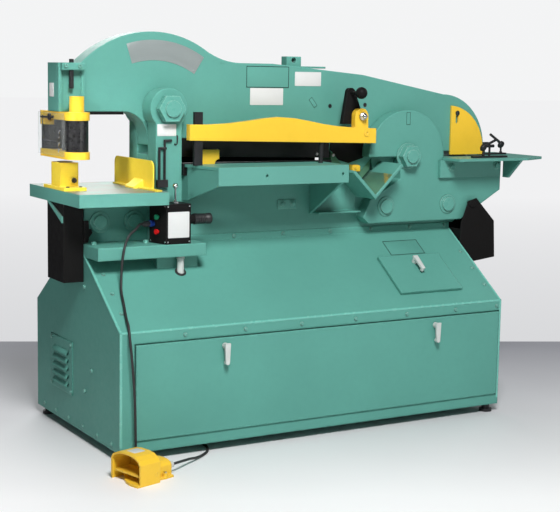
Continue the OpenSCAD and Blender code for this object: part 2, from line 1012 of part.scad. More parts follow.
// Right chute cheek outline as shares of its length and height
cheek_shares = [[0, 0], [0, 0.62], [0.2, 0.96], [0.42, 1], [0.95, 0.64], [1, 0.08]];
rchute_x = cab_x + rchute_gap;
rchute_z = ridge_z - rchute_foot;
rchute_h = rchute_foot + rchute_top;

// Base of the foot switch hood as shares of its length and width
lip_plan_shares = [[0.02, -0.5], [1, -0.5], [1, 0.5], [0.67, 0.5], [0.48, 0.3], [0.23, 0.12], [0.08, -0.05],
  [0, -0.25], [0, -0.4]];

// Bolt bosses along the switch housing
boss_share = 0.55;

// Hexagon of the screws as a share of their flange
screw_hex_share = 0.76;

// Round pin ends as a share of the nut across its flats
pin_end_share = 0.66;

// Hood outline as shares of its width and height
hood_shares = [[-0.5, 0], [-0.5, 0.72], [-0.44, 0.86], [-0.3, 0.96], [-0.12, 1], [0.12, 1], [0.3, 0.96],
  [0.44, 0.86], [0.5, 0.72], [0.5, 0]];

// Crest of the hold-down bar: place along the bar and share of the crest height
crest_shares = [[0, 0], [0.1, 0.04], [0.2, 0.2], [0.3, 0.5], [0.38, 0.8], [0.46, 1], [0.54, 0.92],
  [0.62, 0.66], [0.7, 0.36], [0.78, 0.16], [0.88, 0.04], [1, 0]];
hold_x0 = -hold_x;
hold_x1 = hold_x0 + hold_l;
hold_z = edge_z + hold_rise;
ear = [hold_x1 - ear_x, edge_z + ear_rise];
stud_place = hold_x0 + stud_x;

// Screw places along panels as shares of a length
fold_shares = [0.148, 0.293, 0.435, 0.578, 0.72, 0.861, 0.986];
lip_shares = [0.16, 0.338, 0.517, 0.676, 0.834, 0.98];
slope_shares = [0.21, 0.435, 0.66];
foot_row_shares = [0.09, 0.25, 0.42, 0.59, 0.75, 0.9];

// Control box
box_x1 = -box_right;
box_x0 = box_x1 - box_w;
side_l = sqrt(box_slant * box_slant + (box_front - box_rear) * (box_front - box_rear));
side_a = atan2(box_slant, box_front - box_rear);
button_share = 0.46;
plug_share = 0.8;

// Notcher
ntable_z = plate_z + notch_t;
nguard = [pivot_x + nguard_x, pivot_z + nguard_rise];
nbolt = [nguard[0] + nbolt_x, nguard[1] + nbolt_rise];

// Cable route as shares of the cabinet length, from the strain relief to the foot switch gland
cable_end = plug_l + relief_l;
route_shares = [
  [-0.405, -0.105, 0.472], [-0.425, -0.118, 0.461], [-0.441, -0.1325, 0.441], [-0.449, -0.137, 0.408],
  [-0.453, -0.141, 0.372], [-0.459, -0.1555, 0.348], [-0.466, -0.183, 0.328], [-0.474, -0.2125, 0.307],
  [-0.481, -0.2435, 0.2885], [-0.4835, -0.256, 0.264], [-0.482, -0.2605, 0.235], [-0.479, -0.261, 0.200],
  [-0.476, -0.261, 0.160], [-0.474, -0.261, 0.120], [-0.473, -0.261, 0.080], [-0.472, -0.260, 0.047],
  [-0.469, -0.254, 0.022], [-0.462, -0.240, 0.0065], [-0.450, -0.219, 0.0035], [-0.428, -0.192, 0.0035],
  [-0.398, -0.170, 0.0035], [-0.362, -0.157, 0.0035], [-0.326, -0.155, 0.0035], [-0.296, -0.166, 0.0035],
  [-0.281, -0.190, 0.0035], [-0.284, -0.218, 0.0035], [-0.297, -0.245, 0.0035], [-0.320, -0.268, 0.0037],
  [-0.346, -0.288, 0.006], [-0.370, -0.306, 0.0115]];

// Points of an outline from shares of a box
function placed(lo, size, shares) = [for (s = shares) [lo[0] + s[0] * size[0], lo[1] + s[1] * size[1]]];

// Height of the slope skin at a distance from the middle plane
function slope_z(y) = fold_z + (cab_y - y) * slope_rise / slope_run;

// Rise of the raked blade line left of the pivot
function rake_z(x) = (pivot_x - x) * tan(rake);

// Box from its two corners
module block(lo, hi) {
  translate(lo)
    cube(hi - lo);
}

// Slab with an outline in X and Z
module xz_slab(y0, y1) {
  translate([0, y1, 0])
    rotate([90, 0, 0])
      linear_extrude(y1 - y0)
        children();
}

// Slab with an outline in Y and Z
module yz_slab(x0, x1) {
  translate([x0, 0, 0])
    rotate([90, 0, 90])
      linear_extrude(x1 - x0)
        children();
}

// Slab with an outline in X and Y
module xy_slab(z0, z1) {
  translate([0, 0, z0])
    linear_extrude(z1 - z0)
      children();
}

// Round bars along each axis
module rod_x(x0, x1, y, z, r) {
  translate([x0, y, z])
    rotate([0, 90, 0])
      cylinder(h = x1 - x0, r = r);
}

module rod_y(x, y0, y1, z, r) {
  translate([x, y1, z])
    rotate([90, 0, 0])
      cylinder(h = y1 - y0, r = r);
}

module rod_z(x, y, z0, z1, r) {
  translate([x, y, z0])
    cylinder(h = z1 - z0, r = r);
}

// Hexagon bar across the machine
module hex_y(x, y0, y1, z, af) {
  translate([x, y1, z])
    rotate([90, 0, 0])
      cylinder(h = y1 - y0, r = af / 2 / cos(30), $fn = 6);
}

// Copy on both sides of the middle plane
module both_sides() {
  children();
  mirror([0, 1, 0])
    children();
}

// Rectangle with round corners
module rounded(lo, hi, r) {
  translate([lo[0] + r, lo[1]])
    square([hi[0] - lo[0] - 2 * r, hi[1] - lo[1]]);
  translate([lo[0], lo[1] + r])
    square([hi[0] - lo[0], hi[1] - lo[1] - 2 * r]);
  for (x = [lo[0] + r, hi[0] - r], y = [lo[1] + r, hi[1] - r])
    translate([x, y])
      circle(r);
}

// Place on the front slope: Y runs up the slope, Z stands off it
module on_slope() {
  translate([0, -cab_y, fold_z])
    rotate([slope_a, 0, 0])
      children();
}

// Folded skin outline of one slope with its flange
module skin_shape(flange_z) {
  polygon([[-cab_y, flange_z], [-cab_y, fold_z], [-bed_y, ridge_z], [-bed_y, ridge_z - skin_drop],
    [-cab_y + sheet_t, slope_z(cab_y - sheet_t) - skin_drop], [-cab_y + sheet_t, flange_z]]);
}

// End panel outline
module end_shape() {
  polygon([[-cab_y, base_z], [-cab_y, fold_z], [-bed_y, ridge_z], [bed_y, ridge_z], [cab_y, fold_z],
    [cab_y, base_z]]);
}

// Strap slot through a slope
module strap_slot() {
  block([slot_x0, -slot_reach, fold_z], [slot_x1, -bed_y + over, ledge_z + over]);
}

// Sheet panels of the cabinet, held apart at their seams
module cabinet_panels() {
  color(green) {
    difference() {
      union() {
        yz_slab(-skin_x, skin_x)
          skin_shape(door_z1 + door_gap);
        block([skin_x - lip_l, -bed_y - sheet_t, ridge_z - skin_drop], [skin_x, -bed_y, lip_z]);
      }
      on_slope()
        block([hatch_x + hatch_lap, hatch_s + hatch_lap, -sheet_t - over],
          [hatch_x + hatch_l - hatch_lap, hatch_s + hatch_w - hatch_lap, over]);
      strap_slot();
      rod_z(-conduit_x, -conduit_y, fold_z, ridge_z, conduit_r + slip);
    }
    difference() {
      mirror([0, 1, 0])
        yz_slab(-skin_x, skin_x)
          skin_shape(fold_z - rear_flange);
      mirror([0, 1, 0])
        strap_slot();
    }
    block([-skin_x, cab_y - sheet_t, base_z], [skin_x, cab_y, fold_z - rear_flange - seam]);
    block([-skin_x, -cab_y, base_z], [skin_x, -cab_y + sheet_t, sill_z]);
    block([-skin_x, -cab_y, sill_z + seam],
      [door_x0 - door_gap, -cab_y + sheet_t, door_z1 + door_gap - seam]);
    block([door_x1 + door_gap, -cab_y, sill_z + seam],
      [skin_x, -cab_y + sheet_t, door_z1 + door_gap - seam]);
    difference() {
      yz_slab(-cab_x, -cab_x + sheet_t)
        end_shape();
      block([-cab_x - over, vent_y + vent_rim, vent_z + vent_rim],
        [-cab_x + sheet_t + over, vent_y + vent_w - vent_rim, vent_z + vent_h - vent_rim]);
    }
    yz_slab(cab_x - sheet_t, cab_x)
      end_shape();
  }
}

// Anchor holes through the feet and the base pan
module anchor_holes() {
  for (x = [-feet_l / 2, feet_l / 2], y = [-feet_w / 2, feet_w / 2])
    rod_z(x, y, -over, pan_z + over, anchor_r);
}

// Base pan with the two pedestals under the bed plate
module base_frame() {
  color(green)
    difference() {
      union() {
        block([-skin_x, -skin_y, base_z], [skin_x, skin_y, pan_z]);
        block([-bed_half_l, -bed_y, base_z], [-bed_half_l + ped_left_w, bed_y, bed_z]);
        block([ped_right_x, -bed_y, base_z], [ped_right_x + ped_right_w, bed_y, bed_z]);
      }
      anchor_holes();
    }
}

// Four feet with anchor holes
module leveling_feet() {
  color(dark)
    difference() {
      for (x = [-feet_l / 2, feet_l / 2], y = [-feet_w / 2, feet_w / 2]) {
        rod_z(x, y, 0, foot_disc_t, foot_r);
        rod_z(x, y, 0, base_z, foot_neck_r);
      }
      anchor_holes();
    }
}

// Bores for the tie bolts
module tie_bores(reach, gap) {
  for (x = [pivot_x - tie_left, pivot_x + tie_right])
    rod_y(x, -reach, reach, pivot_z - tie_drop, tie_r + gap);
}

// Thick bed plate with jaw, guide horn, vee notch and notcher tail
module bed_plate() {
  color(green)
    difference() {
      xz_slab(-bed_y, bed_y)
        difference() {
          polygon([[-bed_half_l, bed_z], [-bed_half_l, ridge_z + over], [jaw_end, lip_z],
            [jaw_end, jaw_z], [-throat_x, jaw_z], [-throat_x, horn_z], [-horn_x, horn_z],
            [-horn_x, shear_bed_z], [vee[0] - vee_run, shear_bed_z], vee,
            [vee[0] + notch_bed_z - vee[1], notch_bed_z], [tail_x, notch_bed_z],
            [tail_x, ridge_z + tail_rise], [tail_foot_x, lip_z], [bed_half_l, lip_z],
            [bed_half_l, bed_z]]);
          translate(pivot)
            circle(boss_r + boss_gap);
        }
      tie_bores(bed_y + over, 0);
      block([pivot_x + ndie_x + ndie_wall, -ndie_y + ndie_side, ridge_z],
        [pivot_x + ndie_x + ndie_l - ndie_wall, ndie_y - ndie_side, notch_bed_z + over]);
      for (x = [jaw_pin_left_x, jaw_pin_right_x])
        rod_y(-x, -bed_y - over, bed_y + over, ridge_z + jaw_pin_rise, jaw_pin_r);
    }
}

// Outline of a pivot side plate
module plate_shape() {
  difference() {
    translate(pivot)
      circle(plate_r);
    translate([pivot_x - plate_r - over, pivot_z - plate_r - over])
      square([plate_r + over - plate_cut, plate_r + over - plate_drop]);
  }
  polygon(placed([plate_x, ridge_z + plate_foot], [plate_l, plate_top - plate_foot], plate_shares));
}

// Front and rear side plates that carry the pivot pin
module side_plates() {
  color(green)
    both_sides()
      difference() {
        xz_slab(-plate_y, -bed_y)
          plate_shape();
        rod_y(pivot_x, -plate_y - over, -bed_y + over, pivot_z, pivot_r + run);
        tie_bores(plate_y + over, 0);
        rod_y(pivot_x + hook_x, -plate_y - over, -bed_y + over, ridge_z + hook_rise, hook_r);
      }
}

// Pivot pin with a head in front and a nut behind
module main_pivot_pin() {
  color(steel) {
    rod_y(pivot_x, -plate_y - pivot_washer_t, plate_y + pivot_washer_t, pivot_z, pivot_r);
    both_sides() {
      rod_y(pivot_x, -plate_y - pivot_washer_t, -plate_y, pivot_z, pivot_washer_r);
      hex_y(pivot_x, -plate_y - pivot_washer_t - pivot_hex_h, -plate_y - pivot_washer_t, pivot_z,
        pivot_hex);
      rod_y(pivot_x, -plate_y - pivot_washer_t - pivot_hex_h - pin_end_h, -plate_y, pivot_z,
        pin_end_share * pivot_hex / 2);
    }
  }
}

// Tie bolts through the side plates, and the jaw pins
module tie_bolts() {
  color(green) {
    tie_bores(plate_y, 0);
    both_sides()
      for (x = [pivot_x - tie_left, pivot_x + tie_right]) {
        rod_y(x, -plate_y - tie_ring_t, -plate_y, pivot_z - tie_drop, tie_ring_r);
        rod_y(x, -plate_y - tie_head_h, -plate_y, pivot_z - tie_drop, tie_head_r);
      }
    for (x = [jaw_pin_left_x, jaw_pin_right_x]) {
      rod_y(-x, -bed_y - tie_head_h, bed_y + tie_head_h, ridge_z + jaw_pin_rise, jaw_pin_r);
      both_sides()
        rod_y(-x, -bed_y - tie_ring_t, -bed_y, ridge_z + jaw_pin_rise, jaw_ring_r);
    }
  }
}

// Punch table with the chute hanger
module punch_table() {
  color(green)
    difference() {
      union() {
        block([table_left, -table_d / 2, jaw_z], [-table_end_x, table_d / 2, table_z]);
        yz_slab(table_left, table_left + hanger_t)
          polygon([[chute_d / 2, jaw_z + hanger_t], [chute_d / 2 - hanger_w, jaw_z + hanger_t],
            [-chute_d / 2, jaw_z - hanger_drop + hanger_w],
            [-chute_d / 2, jaw_z - hanger_drop]]);
      }
      rod_z(punch_x, 0, jaw_z - over, table_z + over, slug_r);
    }
}

// Die block with its flange and set screw
module die_block() {
  color(yellow)
    difference() {
      union() {
        block([punch_x - die_flange_w / 2, -die_flange_d / 2, table_z],
          [punch_x + die_flange_w / 2, die_flange_d / 2, table_z + die_flange_t]);
        block([punch_x - die_w / 2, -die_d / 2, table_z],
          [punch_x + die_w / 2, die_d / 2, table_z + die_h]);
        rod_y(punch_x + set_x, -die_d / 2 - set_l, -die_d / 2, table_z + set_h, set_r);
      }
      rod_z(punch_x, 0, table_z - over, die_z, die_bore + die_proud);
      rod_z(punch_x, 0, die_z - die_ring_h, die_z, die_r);
    }
}

// Hardened die in the block
module punch_die() {
  color(steel)
    difference() {
      rod_z(punch_x, 0, die_z - die_ring_h, die_z, die_r);
      rod_z(punch_x, 0, die_z - die_ring_h - over, die_z + over, die_bore);
    }
}

// Bent guard sheet at the throat side of the punch table
module table_guard() {
  guard_x = punch_x + fence_x;
  color(yellow) {
    yz_slab(guard_x, guard_x + fence_t)
      difference() {
        rounded([-fence_front, table_z - fence_corner], [fence_rear, table_z + fence_h], fence_corner);
        translate([-fence_front - over, table_z - fence_corner - over])
          square([fence_front + fence_rear + 2 * over, fence_corner + over]);
      }
    block([guard_x + fence_t - fence_foot, -fence_front - fence_toe, table_z],
      [guard_x + fence_t, fence_rear - fence_corner, table_z + fence_t]);
    xz_slab(-fence_tab_y, fence_tab_l - fence_tab_y)
      polygon([[guard_x - fence_tab_w, table_z], [guard_x - fence_tab_w, table_z + fence_t],
        [guard_x, table_z + fence_tab_h], [guard_x, table_z]]);
  }
}

// Slug chute under the punch table
module left_chute() {
  lo = [table_left + chute_inset, -chute_d / 2, jaw_z - chute_h];
  hi = [-cab_x - chute_gap, chute_d / 2, jaw_z];
  color(dark)
    difference() {
      block(lo, hi);
      block([lo[0] + chute_t, lo[1] + chute_t, lo[2] - over],
        [hi[0] - chute_t, hi[1] - chute_t, hi[2] + over]);
    }
}

// Open sheet chute hung on two hook bolts under the notcher
module right_chute() {
  outline = placed([rchute_x, rchute_z], [rchute_l, rchute_h], cheek_shares);
  color(dark) {
    both_sides()
      difference() {
        xz_slab(-rchute_y, -rchute_y + sheet_t)
          polygon(outline);
        rod_y(pivot_x + hook_x, -rchute_y - over, -rchute_y + sheet_t + over, ridge_z + hook_rise,
          hook_r + slip);
      }
    block([rchute_x, -rchute_y, rchute_z], [rchute_x + sheet_t, rchute_y, rchute_z + rchute_foot]);
    xz_slab(-rchute_y, rchute_y)
      polygon([outline[5], outline[4], outline[4] - [sheet_t, sheet_t], outline[5] - [sheet_t, 0]]);
    both_sides() {
      rod_y(pivot_x + hook_x, -rchute_y - slip, -plate_y, ridge_z + hook_rise, hook_r);
      rod_y(pivot_x + hook_x, -rchute_y - slip - hook_head_t, -rchute_y - slip, ridge_z + hook_rise,
        hook_head_r);
    }
  }
}

// Ledge on both faces of the jaw with the cover box over the strap slot
module strap_ledge() {
  low = ledge_z - ledge_t;
  meet = cab_y - (low - seam - fold_z) * slope_run / slope_rise;
  cover_x = slot_x0 - cover_left;
  color(green)
    both_sides() {
      difference() {
        yz_slab(-cab_x, -ledge_end_x)
          polygon([[-ledge_d, low], [-ledge_d, ledge_z], [-bed_y, ledge_z], [-bed_y, ridge_z + seam],
            [-meet, low]]);
        strap_slot();
      }
      yz_slab(cover_x, cover_x + cover_l)
        polygon([[-cover_d, slope_z(cover_d) + seam], [-cover_d, low], [-cover_d + cover_t, low],
          [-cover_d + cover_t, slope_z(cover_d - cover_t) + seam]]);
      for (x = [cover_x, cover_x + cover_l - cover_t])
        yz_slab(x, x + cover_t)
          polygon([[-cover_d, slope_z(cover_d) + seam], [-cover_d, low], [-meet, low]]);
    }
}

// Place on the slanted button side: X runs back along the face, Z stands off it
module on_side(share, h) {
  translate([box_x0 - box_slant * share, -box_front + (box_front - box_rear) * share, ledge_z + h])
    rotate([0, -90, side_a])
      children();
}

// Control box with the socket on its right side
module control_box() {
  color(dark)
    difference() {
      union() {
        xy_slab(ledge_z, ledge_z + box_h)
          polygon([[box_x0, -box_front], [box_x1, -box_front], [box_x1, -box_rear],
            [box_x0 - box_slant, -box_rear]]);
        rod_x(box_x1, box_x1 + socket_l, -box_front + socket_back, ledge_z + socket_h, socket_r);
      }
      on_side(button_share, green_h)
        translate([0, 0, -button_stem - button_l])
          cylinder(h = button_stem + button_l + over, r = button_r / 2 + slip);
      on_side(button_share, red_h)
        translate([0, 0, -button_stem - button_l])
          cylinder(h = button_stem + button_l + over, r = button_r / 2 + slip);
      rod_z(box_x1 - lever_side, -box_front + lever_back, ledge_z + box_h - lever_pivot_r - slip,
        ledge_z + box_h + over, lever_pivot_r + slip);
    }
}

// Push button with its stem in the box
module push_button(h) {
  on_side(button_share, h) {
    translate([0, 0, button_l / 2])
      cylinder(h = button_l / 2, r = button_r);
    translate([0, 0, -button_stem])
      cylinder(h = button_stem + button_l / 2, r = button_r / 2);
  }
}

module green_button() {
  color(lamp)
    push_button(green_h);
}

module red_button() {
  color(red)
    push_button(red_h);
}

// Collar and strain relief of the foot switch cable
module cable_connector() {
  color(blue)
    on_side(plug_share, plug_h) {
      cylinder(h = plug_l, r = plug_r);
      translate([0, 0, plug_l])
        cylinder(h = relief_l, r1 = relief_r, r2 = cable_r + slip);
    }
}

// Chrome lever that tilts in its cup
module toggle_lever() {
  x = box_x1 - lever_side;
  y = -box_front + lever_back;
  top = ledge_z + box_h;
  color(steel) {
    translate([x, y, top])
      sphere(lever_pivot_r);
    rod_z(x, y, top, top + lever_l, lever_r);
    translate([x, y, top + lever_l])
      sphere(lever_ball_r);
  }
}

// Conduit from the ledge down through the slope
module conduit() {
  color(grey)
    rod_z(-conduit_x, -conduit_y, slope_z(conduit_y) - conduit_tail, ledge_z - ledge_t, conduit_r);
}

// Shear table with apron, slanted wing and gusset
module shear_table() {
  top = edge_z - shear_drop;
  back = bed_y + blade_t;
  x1 = apron_l - apron_x;
  wing_run = shear_d - back - apron_t / 2;
  wing_l = shear_d - bed_y;
  wing_a = atan2(wing_shift, shear_d - bed_y);
  low = edge_z - lower_blade_h - slip;
  color(green)
    difference() {
      union() {
        xy_slab(top - shear_t, top)
          polygon([[-apron_x, -shear_d], [x1, -shear_d], [x1, -back], [-apron_x - wing_shift, -back]]);
        block([-apron_x, -shear_d, top - apron_h], [x1, -shear_d + apron_t, top]);
        translate([-apron_x, -shear_d, 0])
          rotate([0, 0, wing_a])
            yz_slab(0, apron_t)
              polygon([[0, top - apron_h], [0, top], [wing_run, top], [wing_run, low],
                [wing_l, low], [wing_l, top - wing_h], [wing_run, top - wing_h]]);
        yz_slab(x1 - gusset_x, x1 - gusset_x + apron_t)
          polygon([[-shear_d, top - apron_h], [-shear_d, top], [-back, top], [-back, low], [-bed_y, low],
            [-bed_y, top - gusset_h]]);
      }
      for (x = [apron_hole_x - apron_hole_l / 2, apron_hole_x + apron_hole_l / 2])
        rod_y(x, -shear_d - over, -shear_d + apron_t + over, top - apron_h / 2, apron_hole_r);
    }
}

// Lower shear blade on the bed face
module lower_shear_blade() {
  color(steel)
    block([-blade_x, -bed_y - blade_t, edge_z - lower_blade_h], [blade_l - blade_x, -bed_y, edge_z]);
}

// Upper shear blade in the beam rebate
module blade_shape(extra) {
  x0 = -blade_x - blade_lead;
  x1 = blade_l - blade_x + blade_lead;
  polygon([[x0, edge_z + rake_z(x0) - extra], [x0, edge_z + rake_z(x0) + upper_blade_h],
    [x1, edge_z + rake_z(x1) + upper_blade_h], [x1, edge_z + rake_z(x1) - extra]]);
}

module upper_shear_blade() {
  color(steel)
    xz_slab(-beam_y, -beam_y + blade_t)
      blade_shape(0);
}

// Bar die with its half-round notch
module bar_die() {
  top = edge_z - shear_drop;
  color(yellow)
    xz_slab(-bed_y - blade_t - slip - bar_t, -bed_y - blade_t - slip)
      difference() {
        translate([-bar_x, top])
          square([bar_l, bar_h]);
        translate([bar_l - bar_x, top])
          circle(bar_notch);
      }
}

// Vee trough with its carrier plate
module angle_trough() {
  left = vee_left * sin(45);
  right = vee_right * sin(45);
  skew = vee_t * sin(45);
  foot = vee[1] - carrier_drop;
  color(green) {
    xz_slab(-vee_front, -bed_y)
      translate(vee)
        polygon([[0, 0], [-left, left], [-left - skew, left - skew], [0, -2 * skew],
          [right + skew, right - skew], [right, right]]);
    xz_slab(-bed_y - carrier_t, -bed_y)
      polygon([[vee[0] - carrier_x, foot], [vee[0], foot], [vee[0], vee[1] - vee_t / 2],
        [vee[0] - vee_left / 2, vee[1] + vee_left / 2 - vee_t / 2],
        [vee[0] - carrier_x, shear_bed_z - carrier_top]]);
    block([vee[0] - carrier_x, -bed_y - carrier_flange, foot], [vee[0], -bed_y, foot + vee_t / 2]);
  }
}

// Vee blade under the beam
module angle_blade() {
  low = vee + [0, vee_lift];
  high = low + [0, vee_blade];
  color(steel)
    xz_slab(-beam_y, beam_y)
      polygon([low, low + [vee_blade_right, vee_blade_right], high + [vee_blade_right, vee_blade_right],
        high, high + [-vee_blade_left, vee_blade_left], low + [-vee_blade_left, vee_blade_left]]);
}

// Notcher table with apron, left return and gusset
module notcher_table() {
  y0 = plate_y + notch_gap;
  ax0 = pivot_x + napron_x;
  ax1 = ax0 + napron_l;
  color(green)
    difference() {
      union() {
        xy_slab(plate_z, ntable_z)
          polygon([[pivot_x + notch_left, -notch_d], [pivot_x + notch_corner, -notch_d],
            [pivot_x + notch_right, -notch_tip], [pivot_x + notch_right, notch_tip],
            [pivot_x + notch_corner, notch_d], [pivot_x + notch_inner, notch_d],
            [pivot_x + notch_inner, -y0], [pivot_x + notch_left, -y0]]);
        block([ax0, -plate_y - napron_t, plate_z - napron_h], [ax1, -plate_y, plate_z]);
        both_sides()
          yz_slab(ax1 + ngusset_x, ax1 + ngusset_x + notch_t)
            polygon([[-plate_y, plate_z - ngusset_h], [-plate_y, plate_z], [-notch_d, plate_z],
              [-plate_y - ngusset_foot, plate_z - ngusset_h]]);
      }
      block([pivot_x + ndie_x - slip, -ndie_y - slip, plate_z - over],
        [pivot_x + ndie_x + ndie_l + slip, ndie_y + slip, ntable_z + over]);
    }
}

// Notch die on the bed
module notch_die() {
  x0 = pivot_x + ndie_x;
  color(steel)
    difference() {
      block([x0, -ndie_y, notch_bed_z], [x0 + ndie_l, ndie_y, ntable_z]);
      block([x0 + ndie_wall, -ndie_y + ndie_side, notch_bed_z - over],
        [x0 + ndie_l - ndie_wall, ndie_y - ndie_side, ntable_z + over]);
    }
}

// Notch blade under the beam nose
module notch_blade() {
  x0 = pivot_x + ndie_x + ndie_wall + nblade_gap;
  x1 = pivot_x + ndie_x + ndie_l - ndie_wall - nblade_gap;
  y = ndie_y - ndie_side - nblade_gap;
  color(steel)
    block([x0, -y, ntable_z + nblade_lift], [x1, y, pivot_z + nose_under]);
}

// Post and stud that guide the hold-down bar
module hold_down_posts() {
  top = edge_z - shear_drop;
  y = -hold_front + hold_t / 2;
  x = hold_x0 + post_x;
  color(dark) {
    block([x - post_w / 2, y - post_t / 2, top], [x + post_w / 2, y + post_t / 2, edge_z + post_h]);
    rod_z(stud_place, y, top, hold_z - hold_fall * stud_x / hold_l + stud_in, stud_r);
  }
}

// Hold-down bar with its crest and ear
module hold_down_bar() {
  y = -hold_front + hold_t / 2;
  x = hold_x0 + post_x;
  hole_z = hold_z - hold_fall * stud_x / hold_l + stud_in + hold_room;
  crest = [for (s = crest_shares)
    [hold_x0 + s[0] * hold_l, hold_z + hold_h - s[0] * hold_fall + s[1] * hold_crest]];
  color(yellow)
    difference() {
      union() {
        xz_slab(-hold_front, -hold_front + hold_t)
          polygon(concat([[hold_x1, hold_z - hold_fall], [hold_x0, hold_z]], crest));
        rod_y(ear[0], -hold_front, -hold_front + hold_t, ear[1], ear_r);
        block([ear[0] - ear_r, -hold_front, hold_z], [ear[0] + ear_r, -hold_front + hold_t, ear[1]]);
      }
      block([x - post_w / 2 - slip, y - post_t / 2 - slip, hold_z - over - hold_fall],
        [x + post_w / 2 + slip, y + post_t / 2 + slip, hold_z + hold_h + hold_crest + over]);
      rod_z(stud_place, y, hold_z - hold_fall - over, hole_z, stud_r + slip);
      rod_y(ear[0], -hold_front - over, -hold_front + hold_t + over, ear[1], crank_shaft_r + run);
    }
}

// Crank lever behind the ear, with its shaft and ball knob
module crank_lever() {
  tip = ear + [-crank_lean, crank_l];
  y0 = -hold_front + hold_t + slip;
  color(dark) {
    xz_slab(y0, y0 + crank_t) {
      translate(ear)
        circle(crank_hub_r);
      translate(tip)
        circle(crank_tip_r);
      polygon([ear + [-crank_foot_l, -crank_foot_h], tip - [crank_tip_r, 0], tip + [crank_tip_r, 0],
        ear + [crank_hub_r, 0], ear - [0, crank_foot_h]]);
    }
    rod_y(ear[0], -hold_front - crank_proud, y0 + crank_t, ear[1], crank_shaft_r);
    rod_y(tip[0], y0 - hold_t - knob_stem_l, y0 + crank_t, tip[1], knob_stem_r);
    translate([tip[0], y0 - hold_t - knob_stem_l, tip[1]])
      sphere(knob_r);
  }
}

// Guard plate on the nose with its slanted slot
module notcher_guard() {
  y1 = -beam_y - slip;
  color(yellow)
    xz_slab(y1 - nguard_t, y1)
      difference() {
        intersection() {
          translate(nguard)
            circle(nguard_r);
          translate(nguard + [nguard_left, -nguard_drop])
            square([nguard_r, nguard_r + nguard_drop]);
        }
        translate(nbolt)
          circle(nbolt_r + slip);
        translate(nbolt - [0, nslot_l])
          circle(nbolt_r + slip);
        translate(nbolt - [nbolt_r + slip, nslot_l])
          square([2 * nbolt_r + 2 * slip, nslot_l]);
      }
}

// Thumb knob on a gauge bar
module gauge_knob(x, y) {
  z = ntable_z + slip + gauge_t;
  rod_z(x, y, z, z + gstem_h, gstem_r);
  rod_x(x - gknob_l / 2, x + gknob_l / 2, y, z + gstem_h, gknob_r);
}

module gauge_side() {
  x0 = pivot_x + gauge_side_x;
  color(dark) {
    block([x0, -gauge_side_y - gauge_w / 2, ntable_z + slip],
      [x0 + gauge_side_l, -gauge_side_y + gauge_w / 2, ntable_z + slip + gauge_t]);
    gauge_knob(x0 + gauge_side_l / 2, -gauge_side_y);
  }
}

module gauge_back() {
  x0 = pivot_x + gauge_back_x;
  color(dark) {
    block([x0, gauge_back_y - gauge_w / 2, ntable_z + slip],
      [x0 + gauge_back_l, gauge_back_y + gauge_w / 2, ntable_z + slip + gauge_t]);
    gauge_knob(x0 + gauge_w, gauge_back_y);
  }
}

// Outline of the rocker beam
module beam_shape() {
  back_z = pivot_z + back_rise;
  hump = [-hump_x, pivot_z + hump_rise];
  nose = [pivot_x + nose_x, pivot_z + nose_rise];
  fillet_z = back_z + hump_fillet;
  reach = hump_r + hump_fillet;
  fillet = [hump[0] + sqrt(reach * reach - (fillet_z - hump[1]) * (fillet_z - hump[1])), fillet_z];
  cusp = hump + (fillet - hump) * hump_r / reach - [0, hump_cusp];
  wedge = vee + [0, vee_lift + vee_blade + run];
  under = pivot_z + under_rise;
  wedge_run = (under - wedge[1] + (pivot_x - wedge[0]) * tan(rake)) / (1 - tan(rake));
  nose_z = pivot_z + nose_under;
  low = bed_z;
  left = min(-hump_x - hump_r, arm_end) - over;
  difference() {
    union() {
      polygon([[arm_end, low], [arm_end, arm_top], [hump[0], arm_top], [fillet[0], back_z],
        [back_x, back_z], [back_mid_x, back_z - back_mid_fall], nose + [0, nose_r], nose + [nose_r, 0],
        [nose[0] + nose_r, low]]);
      translate(hump)
        circle(hump_r);
      translate(nose)
        circle(nose_r);
      difference() {
        polygon([cusp, [fillet[0], cusp[1]], [fillet[0], back_z - over], [cusp[0], back_z - over]]);
        translate(fillet)
          circle(hump_fillet);
      }
    }
    translate([left, low - over])
      square([arm_end - left, arm_top - low + over]);
    translate([left, low - over])
      square([-throat_x - arm_fillet - left, arm_z - low + over]);
    translate([left, low - over])
      square([-throat_x - left, arm_z - arm_fillet - low + over]);
    translate([-throat_x - arm_fillet, arm_z - arm_fillet])
      circle(arm_fillet);
    polygon([[left, low - hump_r], [left, under + rake_z(-throat_x - over)],
      [-throat_x - over, under + rake_z(-throat_x - over)], wedge + [-wedge_run, wedge_run], wedge,
      wedge + [nose_z - wedge[1], nose_z - wedge[1]], [nose[0] + nose_r + over, nose_z],
      [nose[0] + nose_r + over, low - hump_r]]);
  }
  translate(pivot)
    circle(boss_r);
}

// Rocker beam with the blade rebate, lifting lug and guard bolt
module beam() {
  back_z = pivot_z + back_rise;
  color(green)
    difference() {
      union() {
        xz_slab(-beam_y, beam_y)
          beam_shape();
        block([lug_x, -lug_t / 2, back_z - lug_bar_t], [lug_x + lug_l, lug_t / 2, back_z + lug_h]);
        block([lug_x + lug_l, -lug_bar_w / 2, back_z - lug_bar_t],
          [lug_x + lug_l + lug_bar_l, lug_bar_w / 2, back_z - lug_bar_t / 2]);
        rod_y(nbolt[0], -beam_y - slip - nguard_t - nbolt_l, -beam_y, nbolt[1], nbolt_r);
      }
      xz_slab(-beam_y - over, -beam_y + blade_t)
        blade_shape(upper_blade_h);
      rod_y(pivot_x, -beam_y - over, beam_y + over, pivot_z, pivot_r + run);
      rod_y(strap[0], -beam_y - over, beam_y + over, strap[1], strap_pin_r);
      rod_y(lug_x + lug_l / 2, -lug_t, lug_t, back_z + lug_h / 2, lug_hole_r);
    }
}

